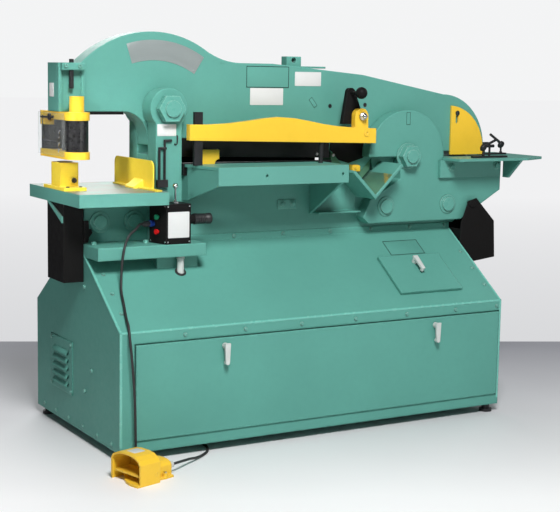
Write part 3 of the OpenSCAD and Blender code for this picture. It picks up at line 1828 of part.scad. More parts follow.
// Punch head plate on the arm
module punch_head() {
  x0 = arm_end + slip;
  front = -beam_y - head_t;
  color(green)
    difference() {
      union() {
        block([x0, front, arm_z], [x0 + head_w, -beam_y, arm_top]);
        block([x0 + head_rim / 2, front - 2 * rod_adj_r - head_bar, arm_top - head_block],
          [x0 + head_w - head_rim / 2, front, arm_top]);
      }
      block([x0 + head_rim, front - over, arm_z - over],
        [x0 + head_w - head_rim, front + head_recess, arm_top - head_block]);
      rod_z(punch_x, front - rod_adj_r, arm_top - head_block - over, arm_top + over, rod_adj_r + slip);
    }
}

// Punch with its holder, nut and adjusting rod
module punch() {
  rod_z1 = arm_top + rod_adj_rise;
  color(dark) {
    rod_z(punch_x, 0, arm_z - holder_h, arm_z, holder_r);
    translate([punch_x, 0, arm_z - holder_h - punch_nut_h])
      cylinder(h = punch_nut_h, r = punch_nut / 2 / cos(30), $fn = 6);
    rod_z(punch_x, 0, tip_z, arm_z - holder_h, punch_r);
    rod_z(punch_x, -beam_y - head_t - rod_adj_r, rod_z1 - rod_adj_l, rod_z1, rod_adj_r);
  }
}

// Outline of the stripper yoke and foot
module yoke_shape(r) {
  translate([punch_x - yoke_w / 2, -post_y])
    square([yoke_w, 2 * post_y]);
  for (y = [-post_y, post_y])
    translate([punch_x, y])
      circle(r);
}

// Yoke under the arm with its two spring caps
module stripper_yoke() {
  color(yellow)
    difference() {
      union() {
        xy_slab(arm_z - yoke_t, arm_z)
          yoke_shape(yoke_r);
        rod_z(punch_x, -post_y, arm_z - yoke_t, arm_z + cap_h, cap_r);
        rod_z(punch_x, post_y, rear_cap_z, arm_z, yoke_r);
      }
      rod_z(punch_x, 0, arm_z - yoke_t - over, arm_z + over, holder_r + slip);
      rod_z(punch_x, -post_y, arm_z - yoke_t - over, arm_z + cap_h - guide_r / 2, guide_r + run);
      rod_z(punch_x, post_y, rear_cap_z - over, arm_z + over, guide_r + run);
      rod_z(punch_x, post_y, rear_cap_z - over, arm_z - yoke_t, sleeve_r + run);
    }
}

// Stripper foot with its two guide rods
module stripper_foot() {
  color(yellow)
    difference() {
      union() {
        xy_slab(strip_z - strip_t, strip_z)
          yoke_shape(yoke_r);
        for (y = [-post_y, post_y])
          rod_z(punch_x, y, strip_z - strip_t, arm_z + guide_rest, guide_r);
      }
      rod_z(punch_x, 0, strip_z - strip_t - over, strip_z + over, strip_hole);
    }
}

// Black sleeves over the stripper springs
module stripper_sleeves() {
  color(dark)
    for (y = [-post_y, post_y])
      difference() {
        rod_z(punch_x, y, strip_z, arm_z - yoke_t, sleeve_r);
        rod_z(punch_x, y, strip_z - over, arm_z - yoke_t + over, guide_r + slip);
      }
}

// Strap pin with a head on each side
module strap_pin() {
  reach = strap_y1 + slip;
  color(steel) {
    rod_y(strap[0], -reach, reach, strap[1], strap_pin_r);
    both_sides() {
      hex_y(strap[0], -reach - strap_hex_h, -reach, strap[1], strap_hex);
      rod_y(strap[0], -reach - strap_hex_h - pin_end_h, -reach, strap[1], pin_end_share * strap_hex / 2);
    }
  }
}

// Two straps from the strap pin down to the crosshead pin
module link_straps() {
  color(green)
    both_sides()
      difference() {
        xz_slab(-strap_y1, -strap_y0) {
          translate(strap)
            circle(strap_boss_r);
          translate([strap[0] - strap_w / 2, cross_z])
            square([strap_w, strap[1] - cross_z]);
          translate([strap[0], cross_z])
            circle(strap_w / 2);
        }
        rod_y(strap[0], -strap_y1 - over, -strap_y0 + over, strap[1], strap_pin_r + run);
        rod_y(strap[0], -strap_y1 - over, -strap_y0 + over, cross_z, strap_pin_r + cross_gap);
      }
}

// Two hex keys standing in their holder on the front strap
module hex_keys() {
  x0 = strap[0] - strap_w / 2;
  z0 = strap[1] - keys_drop;
  y = -strap_y1 - keys_d / 2;
  color(dark) {
    block([x0, -strap_y1 - keys_d, z0], [x0 + keys_w, -strap_y1, z0 + keys_h]);
    for (s = [0, 1]) {
      x = x0 + keys_w / 4 + s * keys_w / 2;
      top = z0 + keys_h + key_l + s * key_leg;
      translate([x, y, z0 + keys_h / 2])
        cylinder(h = top - z0 - keys_h / 2, r = key_af / 2 / cos(30), $fn = 6);
      translate([x, y, top - key_af / 2])
        rotate([0, 90, 0])
          cylinder(h = key_leg, r = key_af / 2 / cos(30), $fn = 6);
    }
  }
}

// Cylinder barrel on the base pan
module cylinder_barrel() {
  color(grey)
    difference() {
      rod_z(strap[0], 0, pan_z, barrel_z, barrel_r);
      rod_z(strap[0], 0, pan_z + barrel_floor, barrel_z + over, rod_r + run);
    }
}

// Rod with the crosshead and its pin
module cylinder_rod() {
  low = cross_z - cross_deep / 2;
  color(steel) {
    rod_z(strap[0], 0, pan_z + barrel_floor + rod_rest, cross_z, rod_r);
    block([strap[0] - cross_w / 2, -strap_y0 + slip, low],
      [strap[0] + cross_w / 2, strap_y0 - slip, low + cross_deep]);
    rod_y(strap[0], -strap_y1 - cross_gap, strap_y1 + cross_gap, cross_z, strap_pin_r);
  }
}

// Oil tank with lid and filler cap
module hydraulic_tank() {
  hi = [tank_x + tank_l, tank_y + tank_d, pan_z + tank_h];
  color(grey) {
    difference() {
      block([tank_x, tank_y, pan_z], hi);
      block([tank_x + tank_wall, tank_y + tank_wall, pan_z + tank_wall],
        hi - [tank_wall, tank_wall, -over]);
    }
    block([tank_x - lid_over, tank_y - lid_over, hi[2]], hi + [lid_over, lid_over, lid_t]);
    rod_z(tank_x + tank_l / 4, tank_y + tank_d / 2, hi[2], hi[2] + lid_t + filler_h, filler_r);
  }
}

// Electric motor on its foot
module pump_motor() {
  z = pan_z + motor_h;
  color(grey) {
    rod_x(motor_x, motor_x + motor_l, -motor_y, z, motor_r);
    block([motor_x + motor_l / 4, -motor_y - motor_foot / 2, pan_z],
      [motor_x + motor_l * 3 / 4, -motor_y + motor_foot / 2, z]);
  }
}

// Pump on the motor with its pipe to the cylinder
module hydraulic_pump() {
  z = pan_z + motor_h;
  bend = [strap[0], -motor_y, z];
  color(grey) {
    block([motor_x - pump_l, -motor_y - pump_w, z - pump_w], [motor_x, -motor_y + pump_w, z + pump_w]);
    rod_x(bend[0], motor_x - pump_l, bend[1], z, pipe_r);
    translate(bend)
      sphere(pipe_r);
    rod_y(bend[0], bend[1], -barrel_r, z, pipe_r);
  }
}

// Louvred plate on the left end
module vent_plate() {
  pitch = (vent_h - 2 * vent_rim) / vent_n;
  x = -cab_x;
  color(green)
    difference() {
      union() {
        block([x - vent_t, vent_y, vent_z], [x, vent_y + vent_w, vent_z + vent_h]);
        for (i = [0 : vent_n - 1]) {
          z = vent_z + vent_rim + i * pitch;
          xz_slab(vent_y + louvre_in, vent_y + vent_w - louvre_in)
            polygon([[x, z + louvre_h], [x - vent_t - louvre_d, z], [x - louvre_d, z],
              [x, z + louvre_h - vent_t]]);
        }
      }
      for (i = [0 : vent_n - 1]) {
        z = vent_z + vent_rim + i * pitch;
        xz_slab(vent_y + louvre_in, vent_y + vent_w - louvre_in)
          polygon([[x + over, z], [x - louvre_d, z], [x, z + louvre_h - vent_t],
            [x + over, z + louvre_h - vent_t]]);
      }
    }
}

// One screw head standing on the XY plane
module screw() {
  cylinder(h = screw_lip, r = screw_r);
  cylinder(h = screw_h, r = screw_hex_share * screw_r, $fn = 6);
}

// Screw heads on the cabinet panels
module cabinet_screws() {
  slope_l = slope_run / cos(slope_a);
  color(steel) {
    for (s = fold_shares)
      translate([s * cabinet_l - cab_x, -cab_y, fold_z - screw_in])
        rotate([90, 0, 0])
          screw();
    for (s = lip_shares)
      translate([skin_x - lip_l + s * lip_l, -bed_y - sheet_t, ridge_z + lip_rise / 2])
        rotate([90, 0, 0])
          screw();
    for (s = slope_shares, x = [-cab_x + 4 * sheet_t + screw_in, cab_x - 2 * sheet_t - screw_in])
      on_slope()
        translate([x, s * slope_l, 0])
          screw();
    for (s = foot_row_shares) {
      translate([-cab_x, s * cabinet_d - cab_y, base_z + screw_in])
        rotate([0, -90, 0])
          screw();
      translate([cab_x, s * cabinet_d - cab_y, base_z + screw_in])
        rotate([0, 90, 0])
          screw();
    }
    for (y = [vent_y + vent_rim / 2, vent_y + vent_w - vent_rim / 2],
      z = [vent_z + vent_rim / 2, vent_z + vent_h - vent_rim / 2])
      translate([-cab_x - vent_t, y, z])
        rotate([0, -90, 0])
          screw();
  }
}

// Front door pan
module front_door() {
  color(green)
    difference() {
      block([door_x0, -door_face, door_z0], [door_x1, -door_face + door_deep, door_z1]);
      block([door_x0 + door_t, -door_face + door_t, door_z0 + door_t],
        [door_x1 - door_t, -door_face + door_deep + over, door_z1 - door_t]);
      for (x = [latch_left_x, latch_right_x])
        rod_y(x, -door_face - over, -door_face + door_t + over, latch_z, latch_shaft_r + run);
    }
}

// Face of a latch lever, hub at the origin
module latch_face() {
  polygon([
    [-latch_w / 2, latch_w / 2],
    [-latch_grip_w / 2, latch_end],
    [latch_grip_w / 2, latch_end],
    [latch_w / 2, latch_w / 2]
  ]);
  translate([0, latch_end])
    circle(r = latch_grip_w / 2);
}

// Turn latch on the front door
module front_latch(x) {
  y = -door_face - slip;
  color(grey) {
    xz_slab(y - latch_t - latch_grip_t, y - latch_t)
      translate([x, latch_z])
        latch_face();
    rod_y(x, y - latch_t, y - latch_t + latch_tip, latch_z + latch_end, latch_grip_w / 2);
    rod_y(x, y - latch_t, y, latch_z, latch_hub_r);
    rod_y(x, y - latch_t, -door_face + latch_shaft_l, latch_z, latch_shaft_r);
    block([x - latch_cam_w / 2, -door_face + latch_shaft_l, latch_z - latch_cam_w / 2],
      [x + latch_cam_w / 2, -door_face + latch_shaft_l + latch_cam_t, latch_z + latch_cam_l]);
  }
}

module front_latch_left() {
  front_latch(latch_left_x);
}

module front_latch_right() {
  front_latch(latch_right_x);
}

// Hatch pan on the front slope
module slope_door() {
  color(green)
    on_slope()
      difference() {
        block([hatch_x, hatch_s, slip], [hatch_x + hatch_l, hatch_s + hatch_w, hatch_deep]);
        block([hatch_x + door_t, hatch_s + door_t, slip - over],
          [hatch_x + hatch_l - door_t, hatch_s + hatch_w - door_t, hatch_deep - door_t]);
        translate([hatch_latch_x, hatch_s + hatch_w - hatch_latch_s, 0])
          cylinder(h = hatch_deep + over, r = latch_shaft_r + run);
      }
}

// Turn latch on the hatch
module slope_latch() {
  z = hatch_deep + slip;
  color(grey)
    on_slope()
      translate([hatch_latch_x, hatch_s + hatch_w - hatch_latch_s, 0]) {
        xy_slab(z + latch_t, z + latch_t + latch_grip_t)
          latch_face();
        rod_z(0, latch_end, z + latch_t - latch_tip, z + latch_t, latch_grip_w / 2);
        rod_z(0, 0, z, z + latch_t, latch_hub_r);
        rod_z(0, 0, hatch_deep - door_t - latch_cam_t, z + latch_t, latch_shaft_r);
      }
}

// Place of the foot switch: X runs from the mouth to the rear
module at_pedal() {
  translate([-pedal_x, -pedal_y, 0])
    rotate([0, 0, pedal_turn])
      children();
}

// Hooded housing of the foot switch
module pedal_housing() {
  inner = [for (s = hood_shares) [s[0] * (pedal_w - 2 * hood_t), s[1] * (pedal_h - hood_t)]];
  back = hood_l + housing_l;
  color(yellow)
    at_pedal()
      difference() {
        union() {
          difference() {
            yz_slab(0, hood_l)
              polygon(placed([0, 0], [pedal_w, pedal_h], hood_shares));
            yz_slab(-over, hood_l - hood_t)
              polygon(inner);
          }
          xy_slab(0, pedal_base_t)
            polygon(placed([-pedal_lip, 0], [hood_l + pedal_lip, pedal_w], lip_plan_shares));
          yz_slab(hood_l - hood_t, back)
            polygon(placed([0, 0], [housing_w, housing_h], hood_shares));
          block([hood_l - hood_t, -housing_w / 2 - pedal_toe, 0],
            [back, housing_w / 2 + pedal_toe, pedal_base_t]);
          for (side = [-1, 1])
            rod_z(hood_l + housing_l * boss_share, side * (housing_w + pedal_toe) / 2, 0, pedal_boss_h,
              pedal_boss_r);
        }
        translate([hood_l - hood_t - treadle_r - treadle_gap, 0, treadle_h])
          rotate([90, 0, 0])
            cylinder(h = pedal_w + over, r = treadle_r + run, center = true);
      }
}

// Treadle on its hinge rod
module treadle() {
  hinge = [hood_l - hood_t - treadle_r - treadle_gap, treadle_h];
  color(dark)
    at_pedal() {
      translate([hinge[0], 0, hinge[1]])
        rotate([90, 0, 0])
          cylinder(h = pedal_w, r = treadle_r, center = true);
      block([hinge[0] - treadle_l, -treadle_w / 2, hinge[1] - treadle_t / 2],
        [hinge[0], treadle_w / 2, hinge[1] + treadle_t / 2]);
    }
}

// Cable gland at the rear of the foot switch
module pedal_gland() {
  color(dark)
    at_pedal()
      rod_x(hood_l + housing_l, hood_l + housing_l + gland_l, -gland_side, gland_h, gland_r);
}

// Point in front of the strain relief and behind the gland
function side_point(d) = [
  box_x0 - box_slant * plug_share - d * cos(side_a),
  -box_front + (box_front - box_rear) * plug_share - d * sin(side_a),
  ledge_z + plug_h];
function pedal_point(d) = [
  -pedal_x + (hood_l + housing_l + gland_l + d) * cos(pedal_turn) + gland_side * sin(pedal_turn),
  -pedal_y + (hood_l + housing_l + gland_l + d) * sin(pedal_turn) - gland_side * cos(pedal_turn),
  gland_h];

// Smooth curve through the cable points
function curve(p, i, t) = let (
  a = p[max(i - 1, 0)],
  b = p[i],
  c = p[i + 1],
  d = p[min(i + 2, len(p) - 1)])
  (2 * b + (c - a) * t + (2 * a - 5 * b + 4 * c - d) * t * t + (3 * b - a - 3 * c + d) * t * t * t) / 2;
function unit(v) = v / norm(v);

// Cable swept along its route
module foot_cable() {
  sides = 10;
  lead = 4 * cable_r;
  route = concat([side_point(cable_end + run), side_point(cable_end + lead)],
    route_shares * cabinet_l, [pedal_point(lead), pedal_point(run)]);
  spans = len(route) - 1;
  path = concat([for (i = [0 : spans - 1], t = [0, 1 / 2]) curve(route, i, t)], [route[spans]]);
  n = len(path);
  along = [for (i = [0 : n - 1])
    i == 0 ? unit(route[1] - route[0])
      : i == n - 1 ? unit(route[spans] - route[spans - 1])
      : unit(path[i + 1] - path[i - 1])];
  first = unit(cross(along[0], [0, 0, 1]));
  across = [for (i = 0, v = first; i < n; i = i + 1,
    v = i < n ? unit(v - along[i] * (v * along[i])) : v) v];
  points = [for (i = [0 : n - 1], k = [0 : sides - 1])
    path[i] + cable_r * (cos(360 * k / sides) * across[i]
      + sin(360 * k / sides) * cross(along[i], across[i]))];
  skin = [for (i = [0 : n - 2], k = [0 : sides - 1])
    [i * sides + k, i * sides + (k + 1) % sides, (i + 1) * sides + (k + 1) % sides, (i + 1) * sides + k]];
  start = [for (k = [0 : sides - 1]) sides - 1 - k];
  stop = [for (k = [0 : sides - 1]) (n - 1) * sides + k];
  color(dark)
    polyhedron(points, concat(skin, [start, stop]));
}

cabinet_panels();
base_frame();
leveling_feet();
bed_plate();
side_plates();
main_pivot_pin();
tie_bolts();
punch_table();
die_block();
punch_die();
table_guard();
left_chute();
right_chute();
strap_ledge();
control_box();
cable_connector();
conduit();
shear_table();
angle_trough();
lower_shear_blade();
bar_die();
notcher_table();
notch_die();
hold_down_posts();
pedal_housing();
foot_cable();
pedal_gland();
hydraulic_tank();
pump_motor();
hydraulic_pump();
cylinder_barrel();
vent_plate();
cabinet_screws();
beam();
punch_head();
punch();
stripper_yoke();
upper_shear_blade();
angle_blade();
notch_blade();
strap_pin();
stripper_foot();
stripper_sleeves();
link_straps();
hex_keys();
cylinder_rod();
hold_down_bar();
crank_lever();
notcher_guard();
front_door();
front_latch_left();
front_latch_right();
slope_door();
slope_latch();
green_button();
red_button();
toggle_lever();
treadle();
gauge_side();
gauge_back();
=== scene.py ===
"""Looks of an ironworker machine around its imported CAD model.

Places are in millimetres unless a name or a heading says metres.
"""

import math

import bmesh
import bpy
from mathutils import Matrix, Vector


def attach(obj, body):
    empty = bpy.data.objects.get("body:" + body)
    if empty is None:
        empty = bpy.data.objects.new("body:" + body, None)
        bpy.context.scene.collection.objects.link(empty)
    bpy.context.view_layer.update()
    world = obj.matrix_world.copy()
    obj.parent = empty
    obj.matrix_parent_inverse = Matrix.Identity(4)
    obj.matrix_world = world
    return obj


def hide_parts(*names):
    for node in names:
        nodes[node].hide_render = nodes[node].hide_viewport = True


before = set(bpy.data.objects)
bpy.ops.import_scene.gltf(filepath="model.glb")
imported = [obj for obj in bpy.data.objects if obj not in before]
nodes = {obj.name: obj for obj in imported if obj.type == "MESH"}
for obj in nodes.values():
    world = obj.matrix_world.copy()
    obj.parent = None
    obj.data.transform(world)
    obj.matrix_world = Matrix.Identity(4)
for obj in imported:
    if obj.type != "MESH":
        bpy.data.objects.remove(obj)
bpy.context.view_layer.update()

scene = bpy.context.scene
MM = 0.001

# Camera at the photograph's viewing angle
IMAGE_WIDTH = 560
SENSOR = 36.0
FOCAL_PIXELS = 1338.24
CAMERA_PLACE = (-2848.2, -4923.2, 1464.6)
CAMERA_YAW = 30.352
CAMERA_PITCH = 7.809
CAMERA_ROLL = 0.998


def make_camera():
    """Adds the camera, turned by yaw, pitch and roll."""
    yaw, pitch, roll = (math.radians(a) for a in (CAMERA_YAW, CAMERA_PITCH, CAMERA_ROLL))
    ahead = Vector((math.sin(yaw) * math.cos(pitch), math.cos(yaw) * math.cos(pitch), -math.sin(pitch)))
    right = Vector((math.cos(yaw), -math.sin(yaw), 0))
    up = right.cross(ahead)
    rolled_right = right * math.cos(roll) + up * math.sin(roll)
    rolled_up = up * math.cos(roll) - right * math.sin(roll)
    data = bpy.data.cameras.new("camera")
    data.sensor_width = SENSOR
    data.lens = FOCAL_PIXELS * SENSOR / IMAGE_WIDTH
    data.clip_end = 100
    camera = bpy.data.objects.new("camera", data)
    scene.collection.objects.link(camera)
    turn = Matrix((rolled_right, rolled_up, -ahead)).transposed().to_4x4()
    camera.matrix_world = Matrix.Translation(Vector(CAMERA_PLACE) * MM) @ turn
    scene.camera = camera


make_camera()

# Node helpers for the procedural materials


class Shader:
    """A material with a principled surface and short calls to add nodes."""

    def __init__(self, name):
        self.material = bpy.data.materials.new(name)
        self.material.use_nodes = True
        self.tree = self.material.node_tree
        self.surface = self.tree.nodes["Principled BSDF"]
        self.place = self.tree.nodes.new("ShaderNodeTexCoord").outputs["Object"]

    def add(self, kind, inputs=None, **settings):
        """Adds a node. Inputs are values or sockets by socket name or index."""
        made = self.tree.nodes.new(kind)
        for key, value in settings.items():
            setattr(made, key, value)
        for key, value in (inputs or {}).items():
            self.join(value, made.inputs[key])
        return made

    def join(self, value, socket):
        """Links a socket, or sets a plain value."""
        if isinstance(value, bpy.types.NodeSocket):
            self.tree.links.new(value, socket)
        else:
            socket.default_value = value

    def set(self, **values):
        """Sets the surface's sockets; underscores stand for spaces."""
        for key, value in values.items():
            self.join(value, self.surface.inputs[key.replace("_", " ")])

    def noise(self, scale, detail=3.0, rough=0.5, stretch=(1, 1, 1)):
        """Noise from 0 to 1 with so many features per metre."""
        vector = self.place
        if stretch != (1, 1, 1):
            vector = self.add("ShaderNodeMapping", {"Vector": self.place, "Scale": stretch}).outputs[0]
        inputs = {"Vector": vector, "Scale": scale, "Detail": detail, "Roughness": rough}
        return self.add("ShaderNodeTexNoise", inputs).outputs["Fac"]

    def span(self, value, low, high, to_low=0.0, to_high=1.0):
        """Maps a range of values to another, clamped."""
        made = self.add("ShaderNodeMapRange", {0: value, 1: low, 2: high, 3: to_low, 4: to_high})
        return made.outputs[0]

    def math(self, operation, a, b):
        """One step of arithmetic."""
        return self.add("ShaderNodeMath", {0: a, 1: b}, operation=operation).outputs[0]

    def mix(self, share, a, b):
        """Mixes two colours."""
        made = self.add("ShaderNodeMix", {0: share, 6: a, 7: b}, data_type="RGBA")
        return made.outputs[2]

    def edges(self, radius):
        """How close a point is to a sharp edge, from 0 to about 1, with the rounded normal."""
        rounded = self.add("ShaderNodeBevel", {"Radius": radius}, samples=4).outputs[0]
        plain = self.add("ShaderNodeNewGeometry").outputs["Normal"]
        near = self.add("ShaderNodeVectorMath", {0: rounded, 1: plain}, operation="DOT_PRODUCT")
        return self.math("SUBTRACT", 1.0, near.outputs["Value"]), rounded

    def bump(self, height, distance, strength=1.0, normal=None):
        """Bump of so many metres."""
        inputs = {"Height": height, "Distance": distance, "Strength": strength}
        if normal is not None:
            inputs["Normal"] = normal
        return self.add("ShaderNodeBump", inputs).outputs[0]


# Features per metre of noises that several materials share
CLOUD_SCALE = 2.2
CHIP_SCALE = 160.0
PEEL_SCALE = 620.0


def tint(colour, factor):
    """A colour made lighter or darker."""
    return tuple(min(1.0, c * factor) for c in colour[:3]) + (1.0,)


def enamel(name, colour, roughness=0.36, grain=0.00025, wave=0.0, edge_wear_highlight=0.5, edge=0.004, bare=None, shade_in_corners=0.3,
           shine=0.3, coat=0.06):
    """Sprayed enamel: mottled tone, orange peel, painted shade in corners, and lighter edges that are partly
    paint worn thin and partly a painted highlight.
    """
    s = Shader(name)
    cloud = s.noise(CLOUD_SCALE, 4.0)
    mottle = s.noise(38.0, 5.0, 0.6)
    tone = s.mix(s.span(cloud, 0.3, 0.7), tint(colour, 0.93), tint(colour, 1.05))
    tone = s.mix(s.math("MULTIPLY", s.span(mottle, 0.45, 0.75), 0.2), tone, tint(colour, 0.86))
    # Painted shade: the colour darkens in corners and recesses that ambient occlusion finds, broken up by the
    # mottle.
    corner = s.add("ShaderNodeAmbientOcclusion", {"Distance": 0.05}, samples=6).outputs["AO"]
    painted_corner_shade = s.math("MULTIPLY", s.span(corner, 0.75, 0.2), s.span(mottle, 0.2, 0.6, 0.5, 1.0))
    tone = s.mix(s.math("MULTIPLY", painted_corner_shade, shade_in_corners), tone, tint(colour, 0.3))
    # Lighter edges: partly chipped, thin paint and partly a painted highlight where the edges catch light;
    # bare gives their colour.
    near, rounded = s.edges(edge)
    chips = s.noise(CHIP_SCALE, 4.0, 0.65)
    worn_edge_highlight = s.math("MULTIPLY", s.span(near, 0.02, 0.25), s.span(chips, 0.4, 0.58, 0.25, 1.0))
    light = bare or tint(colour, 1.6)
    tone = s.mix(s.math("MULTIPLY", worn_edge_highlight, edge_wear_highlight), tone, light)
    height = s.noise(PEEL_SCALE, 2.0)
    if wave:
        height = s.math("ADD", height, s.math("MULTIPLY", s.noise(14.0, 2.0), wave))
    s.set(Base_Color=tone, Roughness=s.span(mottle, 0.3, 0.75, roughness - 0.05, roughness + 0.09))
    s.set(Normal=s.bump(height, grain, 0.5, rounded), Coat_Weight=coat, Coat_Roughness=0.25)
    s.set(Specular_IOR_Level=shine)
    return s.material


def worn_table(name, colour, metal, share):
    """Enamel on a table whose top is rubbed to metal by the work that slides over it."""
    s = Shader(name)
    cloud = s.noise(CLOUD_SCALE, 4.0)
    tone = s.mix(s.span(cloud, 0.3, 0.7), tint(colour, 0.92), tint(colour, 1.06))
    facing = s.add("ShaderNodeSeparateXYZ", {0: s.add("ShaderNodeNewGeometry").outputs["Normal"]}).outputs[2]
    up = s.span(facing, 0.9, 0.98)
    rub = s.math("ADD", s.math("MULTIPLY", s.noise(7.0, 6.0, 0.65), 0.6),
                 s.math("MULTIPLY", s.noise(30.0, 4.0, 0.6, (0.35, 1.6, 1)), 0.4))
    bare = s.math("MULTIPLY", up, s.span(rub, 0.62 - 0.3 * share, 0.72 - 0.2 * share))
    scratch = s.noise(420.0, 2.0, 0.5, (0.06, 1.4, 1))
    metal_tone = s.mix(scratch, tint(metal, 0.8), tint(metal, 1.12))
    # Lighter edges, as on the enamel: partly chipped paint and partly a painted highlight.
    near, rounded = s.edges(0.003)
    worn_edge_highlight = s.math("MULTIPLY", s.span(near, 0.02, 0.25), s.span(s.noise(CHIP_SCALE, 4.0), 0.42, 0.6))
    tone = s.mix(s.math("MULTIPLY", worn_edge_highlight, 0.5), tone, tint(colour, 1.45))
    s.set(Base_Color=s.mix(bare, tone, metal_tone), Metallic=s.math("MULTIPLY", bare, 0.75))
    s.set(Roughness=s.span(s.math("ADD", bare, s.math("MULTIPLY", scratch, 0.4)), 0.0, 1.4, 0.38, 0.5))
    s.set(Normal=s.bump(s.noise(PEEL_SCALE, 2.0), 0.0002, 0.5, rounded))
    return s.material


def machined(name, colour, roughness=0.34, run=(1.0, 0.05, 0.05), edge=0.002, rim=1.6):
    """Ground or turned steel with tool marks along one direction and a brighter rim, a painted highlight
    along its edges.
    """
    s = Shader(name)
    marks = s.noise(900.0, 3.0, 0.6, run)
    stain = s.noise(11.0, 5.0, 0.6)
    tone = s.mix(marks, tint(colour, 0.82), tint(colour, 1.15))
    tone = s.mix(s.math("MULTIPLY", s.span(stain, 0.5, 0.75), 0.4), tone, tint(colour, 0.55))
    near, rounded = s.edges(edge)
    # Painted highlight: the colour lightens towards the edges by the rim factor.
    tone = s.mix(s.math("MULTIPLY", s.span(near, 0.02, 0.25), 0.6), tone, tint(colour, rim))
    s.set(Base_Color=tone, Metallic=0.9)
    s.set(Roughness=s.span(stain, 0.3, 0.75, roughness - 0.06, roughness + 0.14))
    s.set(Normal=s.bump(marks, 0.00008, 0.6, rounded))
    return s.material


def black_oxide(name, colour, roughness):
    """Blackened steel with rubbed edges."""
    s = Shader(name)
    stain = s.noise(26.0, 5.0, 0.6)
    tone = s.mix(stain, tint(colour, 0.7), tint(colour, 1.5))
    near, rounded = s.edges(0.0015)
    rubbed = s.math("MULTIPLY", s.span(near, 0.03, 0.3), s.span(s.noise(210.0, 3.0), 0.4, 0.62))
    tone = s.mix(s.math("MULTIPLY", rubbed, 0.55), tone, (0.22, 0.22, 0.22, 1))
    s.set(Base_Color=tone, Metallic=0.35)
    s.set(Roughness=s.span(stain, 0.3, 0.7, roughness - 0.08, roughness + 0.1))
    s.set(Normal=s.bump(s.noise(700.0, 2.0), 0.0001, 0.5, rounded))
    return s.material


def plastic(name, colour, roughness):
    """Moulded plastic with a fine texture."""
    s = Shader(name)
    cloud = s.noise(24.0, 4.0)
    near, rounded = s.edges(0.0015)
    tone = s.mix(s.span(cloud, 0.3, 0.7), tint(colour, 0.9), tint(colour, 1.08))
    # Lighter near the edges: a painted highlight.
    tone = s.mix(s.math("MULTIPLY", s.span(near, 0.03, 0.3), 0.25), tone, tint(colour, 1.35))
    s.set(Base_Color=tone, Roughness=s.span(cloud, 0.3, 0.7, roughness - 0.05, roughness + 0.06))
    s.set(Normal=s.bump(s.noise(900.0, 2.0), 0.00012, 0.5, rounded))
    return s.material


def rubber(name, colour=(0.018, 0.018, 0.019), roughness=0.55, rubbed_sheen_streak=0.0):
    """Rubber with dust in its grain; the streak share adds lighter lines that run up and down, partly rubbed
    marks and partly a painted sheen.
    """
    s = Shader(name)
    dust = s.noise(70.0, 5.0, 0.65)
    tone = s.mix(s.span(dust, 0.5, 0.8), colour + (1.0,), tint(colour, 2.4))
    rough = s.span(dust, 0.3, 0.7, roughness - 0.06, roughness + 0.1)
    height = s.noise(800.0, 2.0)
    if rubbed_sheen_streak:
        # Lighter vertical lines: rubbed marks and a painted sheen.
        lines = s.noise(60.0, 3.0, 0.5, (1.0, 1.0, 0.06))
        tone = s.mix(s.math("MULTIPLY", s.span(lines, 0.55, 0.75), rubbed_sheen_streak), tone, (0.09, 0.09, 0.09, 1))
        height = lines
    s.set(Base_Color=tone, Roughness=rough, Normal=s.bump(height, 0.00025, 0.4))
    return s.material


def chrome(name):
    """Polished plating with faint handling marks."""
    s = Shader(name)
    marks = s.noise(90.0, 5.0, 0.6)
    s.set(Base_Color=s.mix(marks, (0.62, 0.63, 0.64, 1), (0.8, 0.8, 0.81, 1)), Metallic=1.0)
    s.set(Roughness=s.span(marks, 0.35, 0.75, 0.1, 0.24), Normal=s.bump(marks, 0.00003, 0.4))
    return s.material


def satin_plate(name, colour, roughness=0.38, metal=0.0):
    """Thin printed or brushed plate with a faint grain and rubbed rim."""
    s = Shader(name)
    lines = s.noise(700.0, 2.0, 0.5, (0.04, 1.0, 1.0))
    cloud = s.noise(20.0, 4.0)
    tone = s.mix(s.math("MULTIPLY", lines, 0.6), tint(colour, 0.95), tint(colour, 1.04))
    tone = s.mix(s.math("MULTIPLY", s.span(cloud, 0.5, 0.8), 0.25), tone, tint(colour, 0.84))
    s.set(Base_Color=tone, Metallic=metal)
    s.set(Roughness=s.span(cloud, 0.3, 0.7, roughness - 0.06, roughness + 0.08))
    s.set(Normal=s.bump(lines, 0.00004, 0.5))
    return s.material


def clear_sheet(name):
    """Clear polycarbonate: almost all light goes through, and its cut edges are pale."""
    s = Shader(name)
    near, rounded = s.edges(0.004)
    s.set(Base_Color=(0.85, 0.88, 0.88, 1), Roughness=0.12, Normal=rounded)
    through = s.add("ShaderNodeBsdfTransparent", {"Color": (0.95, 0.97, 0.97, 1)}).outputs[0]
    share = s.span(near, 0.02, 0.2, 0.05, 0.6)
    both = s.add("ShaderNodeMixShader", {0: share, 1: through, 2: s.surface.outputs[0]}).outputs[0]
    s.join(both, s.tree.nodes["Material Output"].inputs["Surface"])
    return s.material


